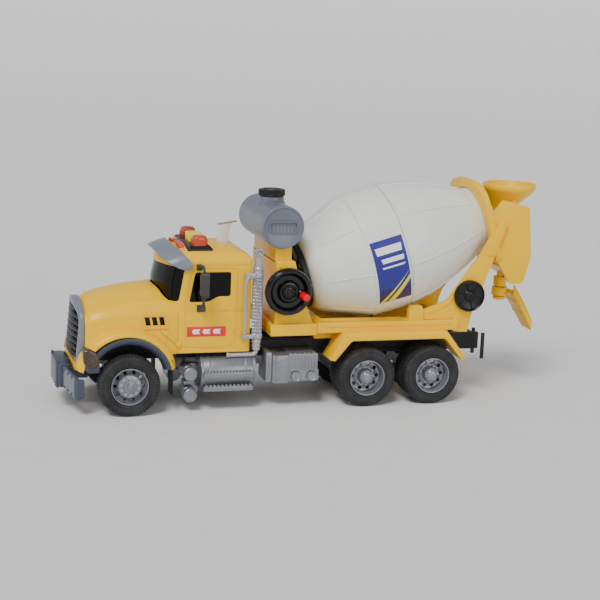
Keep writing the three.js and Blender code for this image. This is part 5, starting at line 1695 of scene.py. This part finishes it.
def drum_patch(shape, corners, lift, thick=0.06):
    """Thin area on the drum between four corners of (s, degrees): printed labels, and the painted shade on
    the label.
    """
    (s0, a0), (s1, a1), (s2, a2), (s3, a3) = corners
    rows = []
    for i in range(13):
        u = i / 12
        row = []
        for j in range(11):
            v = j / 10
            s = (s0 * (1 - v) + s1 * v) * (1 - u) + (s3 * (1 - v) + s2 * v) * u
            angle = math.radians((a0 * (1 - v) + a1 * v) * (1 - u) + (a3 * (1 - v) + a2 * v) * u)
            r = drum_radius(s) + lift
            row.append((r * math.cos(angle), r * math.sin(angle), s))
        rows.append(row)
    shape.sheet(rows, thick)


def add_drum():
    place = turn_to(DRUM_ORIGIN, DRUM_AXIS)
    wall = DRUM_WALL
    front = Shape(matrix=place)
    outside = [(r, s) for s, r in DRUM_FRONT]
    inside = [(max(r - wall, 20), s) for s, r in reversed(DRUM_FRONT[3:])]
    front.lathe([(0, -46)] + outside + inside + [(28, -44.4), (0, -44.4)], axis="Z", steps=128,
                loop=False)
    rib_turn = 52
    for k in range(8):
        drum_rib(front, -36.5, -0.4, math.radians(rib_turn + 45 * k))
    piece(front, "drum_front", "drum_front_shell", CREAM, 24)
    rear = Shape(matrix=place)
    outside = [(r, s) for s, r in DRUM_REAR]
    inside = [(r - wall, s) for s, r in reversed(DRUM_REAR[2:-1])]
    rear.lathe(outside + inside + [(DRUM_REAR[0][1] - wall, DRUM_REAR[0][0])], axis="Z", steps=128)
    for k in range(8):
        drum_rib(rear, 31.2, 101, math.radians(rib_turn + 1 + 45 * k))
    for k in range(2):
        flight = []
        for i in range(29):
            s = 34 + 62 * i / 28
            angle = math.pi * k + i * 0.11
            r = drum_radius(s) - wall + 0.4
            flight.append([((r - d) * math.cos(angle + d * 0.004),
                            (r - d) * math.sin(angle + d * 0.004), s + d * 0.25)
                           for d in (0, 2, 4, 6, 8)])
        rear.sheet(flight, 1.0)
    piece(rear, "drum_rear", "drum_rear_shell", CREAM, 24)
    blue = Shape(matrix=place)
    drum_patch(blue, ((1.5, 69), (28.7, 69), (28.7, 131), (1.5, 131)), 0.1)
    extra(blue, "drum_label", "drum", LABEL_BLUE)
    # darker blue on the label's lower part, where the drum turns away from the light: painted shade
    shade = Shape(matrix=place)
    drum_patch(shade, ((1.55, 115.5), (28.65, 116.5), (28.65, 130.9), (1.55, 130.9)), 0.16)
    extra(shade, "drum_label_painted_shade", "drum", LABEL_BLUE_SHADED)
    stripes = Shape(matrix=place)
    drum_patch(stripes, ((25.0, 104.6), (28.4, 100.6), (5.8, 130.2), (2.0, 130.2)), 0.24)
    drum_patch(stripes, ((28.5, 104.6), (28.6, 108.5), (14.5, 130.3), (8.4, 130.3)), 0.24)
    extra(stripes, "drum_label_stripes", "drum", LABEL_LEMON)
    plain = Shape(matrix=place)
    drum_patch(plain, ((4.2, 75.2), (26.4, 75.2), (25.8, 81.8), (5.0, 81.8)), 0.2)
    drum_patch(plain, ((7.2, 85.6), (26.4, 85.6), (25.8, 89.8), (8.0, 89.8)), 0.2)
    drum_patch(plain, ((6.8, 93.0), (26.6, 93.0), (25.0, 94.6), (7.2, 94.6)), 0.2)
    extra(plain, "drum_label_bars", "drum", LABEL_WHITE)
    drive = Shape(matrix=place)
    drive.lathe([(0, -46.3), (27.2, -46.3), (28.4, -46.6), (29, -47.3), (29, -50.2), (28.5, -50.8),
                 (27.4, -51),
                 (25.6, -50.9), (25.0, -50.2), (12, -50.2), (11.2, -51.0), (6, -51.4), (3, -51.4),
                 (0, -51.4)],
                axis="Z", steps=96, loop=False)
    for k in range(8):
        a = math.tau * k / 8
        drive.tube([(11.5 * math.cos(a), 11.5 * math.sin(a), -50.4), (25 * math.cos(a),
                                                                      25 * math.sin(a), -50.4)],
                   0.7,
                   8, 2)
    distance = math.hypot(CRANK[0] - DRUM_ORIGIN.x, CRANK[1] - DRUM_ORIGIN.z)
    drive.disc(3, 4.3 - distance, -50, axis="Z", edge=0.2, steps=32)
    add_bevel(drive, DRUM_GEAR_TEETH, CRANK_GEAR_TEETH, -distance, 1, math.pi / 2)
    piece(drive, "drum_hub", "drum_drive", BLACK)


def add_bevel(shape, teeth, mate, tip, sign, turn):
    """Bevel gear about Z with its cone's tip at height tip and its wide end away from it."""
    radius, reach = teeth * GEAR_MODULE / 2, mate * GEAR_MODULE / 2
    tooth = GEAR_MODULE * 0.7
    pitch = math.tau / teeth
    rings = []
    for scale in (0.62, 0.81, 1.0):
        ring = []
        for i in range(teeth):
            for offset, rise in ((-0.24, -1), (-0.16, -0.1), (-0.09, 0.55), (-0.05, 0.72),
                                 (0.05, 0.72), (0.09, 0.55),
                                 (0.16, -0.1), (0.24, -1)):
                angle = turn + (i + offset) * pitch
                r = (radius + rise * tooth) * scale
                ring.append((r * math.cos(angle), r * math.sin(angle), tip + sign * reach * scale))
        rings.append(ring)
    shape.loft(rings)


# ---- deck, rear frame and chutes -----------------------------------------------------------


def add_deck():
    slab = Shape()
    slab.prism(rect(-121, -0.5, -42, 42, 0.8), 60.3, 68.5, "Z")
    deck = temporary(slab)
    cut = Shape()
    cut.prism(rect(-115, -8.5, -24, 24, 3), 50, 80, "Z")
    for sign in (1, -1):
        cut.prism(rect(-77, -5, sign * 27, sign * 39.4, 1), 67.6, 72, "Z")
        cut.box(-116, -6, *span(sign, 41.4, 44), 64.2, 64.7, 0)
    carved(deck, cut)
    softened(deck, 0.5, 3, 35)
    shape = reopened(deck)
    for sign in (1, -1):
        shape.box(-119, -2.5, *span(sign, 20, 27), 52.3, 60.8, 0.5)
        for x in (-100, -76, -52, -28):
            shape.box(x - 1, x + 1, *span(sign, 24, 40), 58.3, 60.8, 0.3)
        low, high = span(sign, 31, 38.5)
        shape.prism([(-79.5, 67.5), (-92, 67.5), (-92, 76, 0.8), (-90, 80, 0.8), (-81.5, 80, 0.8),
                     (-79.5, 76, 0.8)],
                    low, high, bevel=0.7, segments=3, angle=25)
        low, high = span(sign, 28, 50.3)
        shape.prism([(-9.5, 39.8), (-21.5, 60.8, 3), (-109, 60.8, 3), (-126.5, 38), (-122.6, 36.2),
                     (-107.5, 54.8, 2), (-27.5, 54.8, 2), (-14, 38.6)], low, high, bevel=0.7,
                    segments=3, angle=25)
        low, high = span(sign, 46.4, 50.0)
        shape.prism([(-22.4, 60.0, 2), (-108.4, 60.0, 2), (-108.8, 61.2, 2), (-21.9, 61.2, 2)], low,
                    high, bevel=0.4)
        for x in (-24, -66, -106):
            shape.prism([(x - 3, 55.2), (x + 3, 55.2), (x + 1.6, 60.8), (x - 1.6, 60.8)],
                        *span(sign, 27.6, 30), bevel=0.4)
    piece(shape, "deck", "deck_frame", YELLOW)


def add_rear_frame():
    place = turn_to(DRUM_ORIGIN, DRUM_AXIS)
    shape = Shape()
    outline = [(-92.3, 68.7), (-92.3, 76.4, 1), (-112.5, 83.5, 3), (-139.9, 122, 3), (-155, 148, 1),
               (-162, 148, 1),
               (-152.4, 121.5, 6), (-138.8, 85.5, 3), (-133.7, 71.3, 2), (-131, 57.4, 1),
               (-121.5, 57.4, 1),
               (-121.5, 68.7)]
    for sign in (1, -1):
        shape.prism(outline, *span(sign, 33.5, 38), bevel=0.7, segments=3, angle=25)
    for sign in (1, -1):
        shape.prism([(-147, 152, 1), (-158, 166, 2), (-182, 160, 3), (-186, 118, 4), (-180, 96, 3),
                     (-168, 96, 3),
                     (-148, 128, 6)], *span(sign, 30.5, 34.5), bevel=0.7, segments=3, angle=25)
        shape.prism([(-152, 152.5, 1), (-160, 161, 2), (-177, 156.5, 3), (-181, 119, 4),
                     (-176, 101, 3), (-170.5, 101, 3),
                     (-153, 129.5, 5)], *span(sign, 33.8, 35.1), bevel=0.4)
    frame_obj = temporary(shape)
    collar = Shape(matrix=place)
    collar.prism([(-32, -37.2, 6), (26, -37.2, 10), (35, -22, 10), (35, 22, 10), (26, 37.2, 10),
                  (-32, 37.2, 6)],
                 108, 113, "Z", bevel=0.6, segments=3)
    ring = temporary(collar)
    for target in (frame_obj, ring):
        neck = Shape(matrix=place)
        neck.disc(28.9, 99, 123, axis="Z", steps=96, edge=0.01)
        pins = Shape()
        pins.disc(2.4, -60, 60, (DISC[0], 0, DISC[1]), steps=24, edge=0.01)
        carved(target, neck, pins)
    shape = reopened(frame_obj)
    shape.join(reopened(ring))
    lip = Shape(matrix=place)
    lip.lathe([(29.0, 112.6), (31.6, 112.6), (31.6, 113.9), (31.0, 114.5), (29.5, 114.5),
               (29.0, 114.0)], axis="Z",
              steps=96)
    shape.join(lip)
    for sign in (1, -1):
        shape.box(-131, -121.5, *span(sign, 18, 36), 57.4, 60.5, 0.5)
        low, high = span(sign, 37.6, 39.4)
        shape.prism(rect(-121.6, -117.2, 58.6, 71.6, 0.6),
                    *span(sign, 37.4, 41.2), bevel=0.5)
        shape.prism([(-145.2, 120.6, 0.4), (-153.6, 120.6, 0.4), (-154.0, 121.6, 0.4),
                     (-144.6, 121.6, 0.4)], low,
                    high - 0.7 * (sign > 0), bevel=0.2)
        shape.prism([(-95, 73, 1), (-112, 79.4, 2), (-118, 87, 3), (-112.9, 82.4, 3), (-95, 76, 1)],
                    low,
                    high - 0.9 * (sign > 0), bevel=0.3)
    piece(shape, "rear_support", "rear_frame", YELLOW)


def add_side_discs():
    centre = (DISC[0], 0, DISC[1])
    for side, mirror in SIDES:
        shape = Shape(mirror)
        shape.lathe([(0, 32), (1.7, 32), (2, 32.3), (2, 38.3), (12.2, 38.3), (12.9, 38.9),
                     (13, 39.8), (13, 42.2),
                     (12.6, 42.9), (12.0, 43.1), (11.5, 42.7), (11.2, 41.5), (10.6, 41.1),
                     (4.4, 40.6), (3.9, 41.0),
                     (3.5, 41.8), (2.6, 42.1), (1.1, 42.1), (0.8, 41.6), (0, 41.6)], centre,
                    steps=80, loop=False)
        for k in range(6):
            a = math.radians(15 + 60 * k)
            c, s = math.cos(a), math.sin(a)
            shape.tube([(centre[0] + 3.2 * c, 41.0, centre[2] + 3.2 * s), (centre[0] + 11.6 * c,
                                                                           41.5, centre[2] + 11.6 * s)],
                       0.5, 8, 2)
        piece(shape, f"rear_disc_{side}", f"side_disc_{side}", BLACK)


def funnel_ring(x, z, radius):
    """Level circle of the funnel."""
    return [(x + radius * math.cos(math.tau * k / 72), radius * math.sin(math.tau * k / 72), z)
            for k in range(72)]


def add_hopper():
    shape = Shape()
    outer = ((-166, 144, 7.6), (-166.1, 144.3, 8), (-167.6, 148, 8.5), (-170, 153, 9.5),
             (-171.6, 156.6, 11.5),
             (-174.2, 162, 15.6), (-177, 168, 20.2), (-177.4, 170.2, 21.4), (-177.5, 171.6, 22.3),
             (-177.9, 175.2, 22.4),
             (-178, 175.9, 22.0))
    inner = ((-178, 175.9, 20.6), (-177.8, 174.4, 20.0), (-177, 168.6, 18.4), (-174.2, 162.8, 13.6),
             (-171.6, 157.4, 9.5),
             (-170, 153.4, 7.7), (-166.2, 144.2, 6.2))
    rings = [funnel_ring(*r) for r in outer] + [funnel_ring(*r) for r in inner]
    shape.loft(rings + [rings[0]], caps=False)
    for sign in (1, -1):
        shape.prism(rect(-177, -169, 153, 159, 0.6),
                    *span(sign, 9.2, 30.2), bevel=0.5)
        shape.prism([(-174, 158), (-172, 158), (-172, 159.6), (-174, 164)], *span(sign, 13, 24),
                    bevel=0.4)
    piece(shape, "hopper_funnel", "hopper", YELLOW, 50)


def channel(shape, sections, wall, floor, inner_radius=1.4):
    """Open trough through (x, z, half width, height) sections."""
    dense = [tuple(p) for p in spline(sections, 6)]
    rings = []
    for x, z, half, height in dense:
        outline = [(-half, z, 0.9), (half, z, 0.9), (half, z + height, 0.5),
                   (half - wall, z + height, 0.5),
                   (half - wall, z + floor, inner_radius), (-half + wall, z + floor, inner_radius),
                   (-half + wall, z + height, 0.5), (-half, z + height, 0.5)]
        rings.append([(x, y, h) for y, h in rounded(outline, 4)])
    shape.loft(rings, bevel=0.3, angle=70)


def add_trough():
    shape = Shape()
    channel(shape, ((-164, 108, 27, 13), (-168, 104.2, 23, 13.6), (-172, 101, 19, 14),
                    (-184, 93.5, 12, 12)), 1.8, 2.2)
    x = CHUTE_PIVOT_X
    shape.lathe([(0, 76.4), (4.6, 76.4), (5.2, 76.9), (5.2, 78.4), (4.9, 78.9), (3, 79.2), (3, 101),
                 (0, 101)],
                (x, 0, 0), "Z", 40, loop=False)
    shape.lathe([(0, 88.2), (5.4, 88.2), (5.6, 88.6), (5.6, 96), (0, 96)], (x, 0, 0), "Z", 40,
                loop=False)
    for sign in (1, -1):
        shape.box(-176, -169, *span(sign, 17, 30.2), 104, 108, 0.5)
        shape.prism([(-183, 95.5), (-170, 103), (-170, 105), (-183, 98.5)], *span(sign, 3.2, 4.6),
                    bevel=0.3)
    piece(shape, "discharge_channel", "discharge_trough", YELLOW)


def add_chute():
    x = CHUTE_PIVOT_X
    shape = Shape()
    shape.lathe([(3.45, 80.4), (3.9, 80), (6.2, 80), (6.6, 80.4), (6.6, 86.6), (6.2, 87), (3.9, 87),
                 (3.45, 86.6)],
                (x, 0, 0), "Z", 56)
    shape.prism(rect(-186, x - 5.8, -4.5, 4.5, 0.5), 81.5, 84.5, "Z",
                bevel=0.5)
    channel(shape, ((-182.6, 82, 13, 9), (-190, 71, 12, 9), (-196, 61.5, 11.2, 9), (-202.8, 50, 10,
                                                                                    9)), 1.8, 3)
    for sign in (1, -1):
        shape.loft([[(px, sign * (half - 0.4), z + 8.2), (px, sign * (half + 0.5), z + 8.2),
                     (px, sign * (half + 0.5), z + 9.2), (px, sign * (half - 0.4), z + 9.2)]
                    for px, z, half in ((-183.2, 81, 12.9), (-190, 71, 12), (-196, 61.5, 11.2),
                                        (-202.4, 50.6, 10))],
                   bevel=0.2)
    for px, z, half in ((-187, 75.4, 12.2), (-194, 64.6, 11.2)):
        shape.box(px - 0.6, px + 0.6, -half, half, z - 0.7, z + 1.4, 0.3)
    piece(shape, "chute", "swing_chute", YELLOW)


# ---- shafts and gears kept from the frame --------------------------------------------------


def finish_shafts():
    """Steel on the CAD shafts that keep their own shape."""
    for name in ("front_axle", "drive_axle", "trailing_axle", "flywheel", "crank_shaft"):
        mesh = frame["nodes"][name].data
        mesh.materials.clear()
        mesh.materials.append(STEEL)


for add in (add_front_wheels, add_rear_wheels, add_chassis, add_bumper, add_side_tanks, add_cab,
            add_bonnet, add_arch_trims, add_grille, add_sun_visor, add_light_bar, add_beacons,
            add_sound_button, add_marker_lamps, add_sound_module, add_mirrors, add_exhaust,
            add_pedestal, add_water_tank, add_crank, add_drum, add_deck, add_rear_frame,
            add_side_discs, add_hopper, add_trough, add_chute):
    add()
finish_shafts()
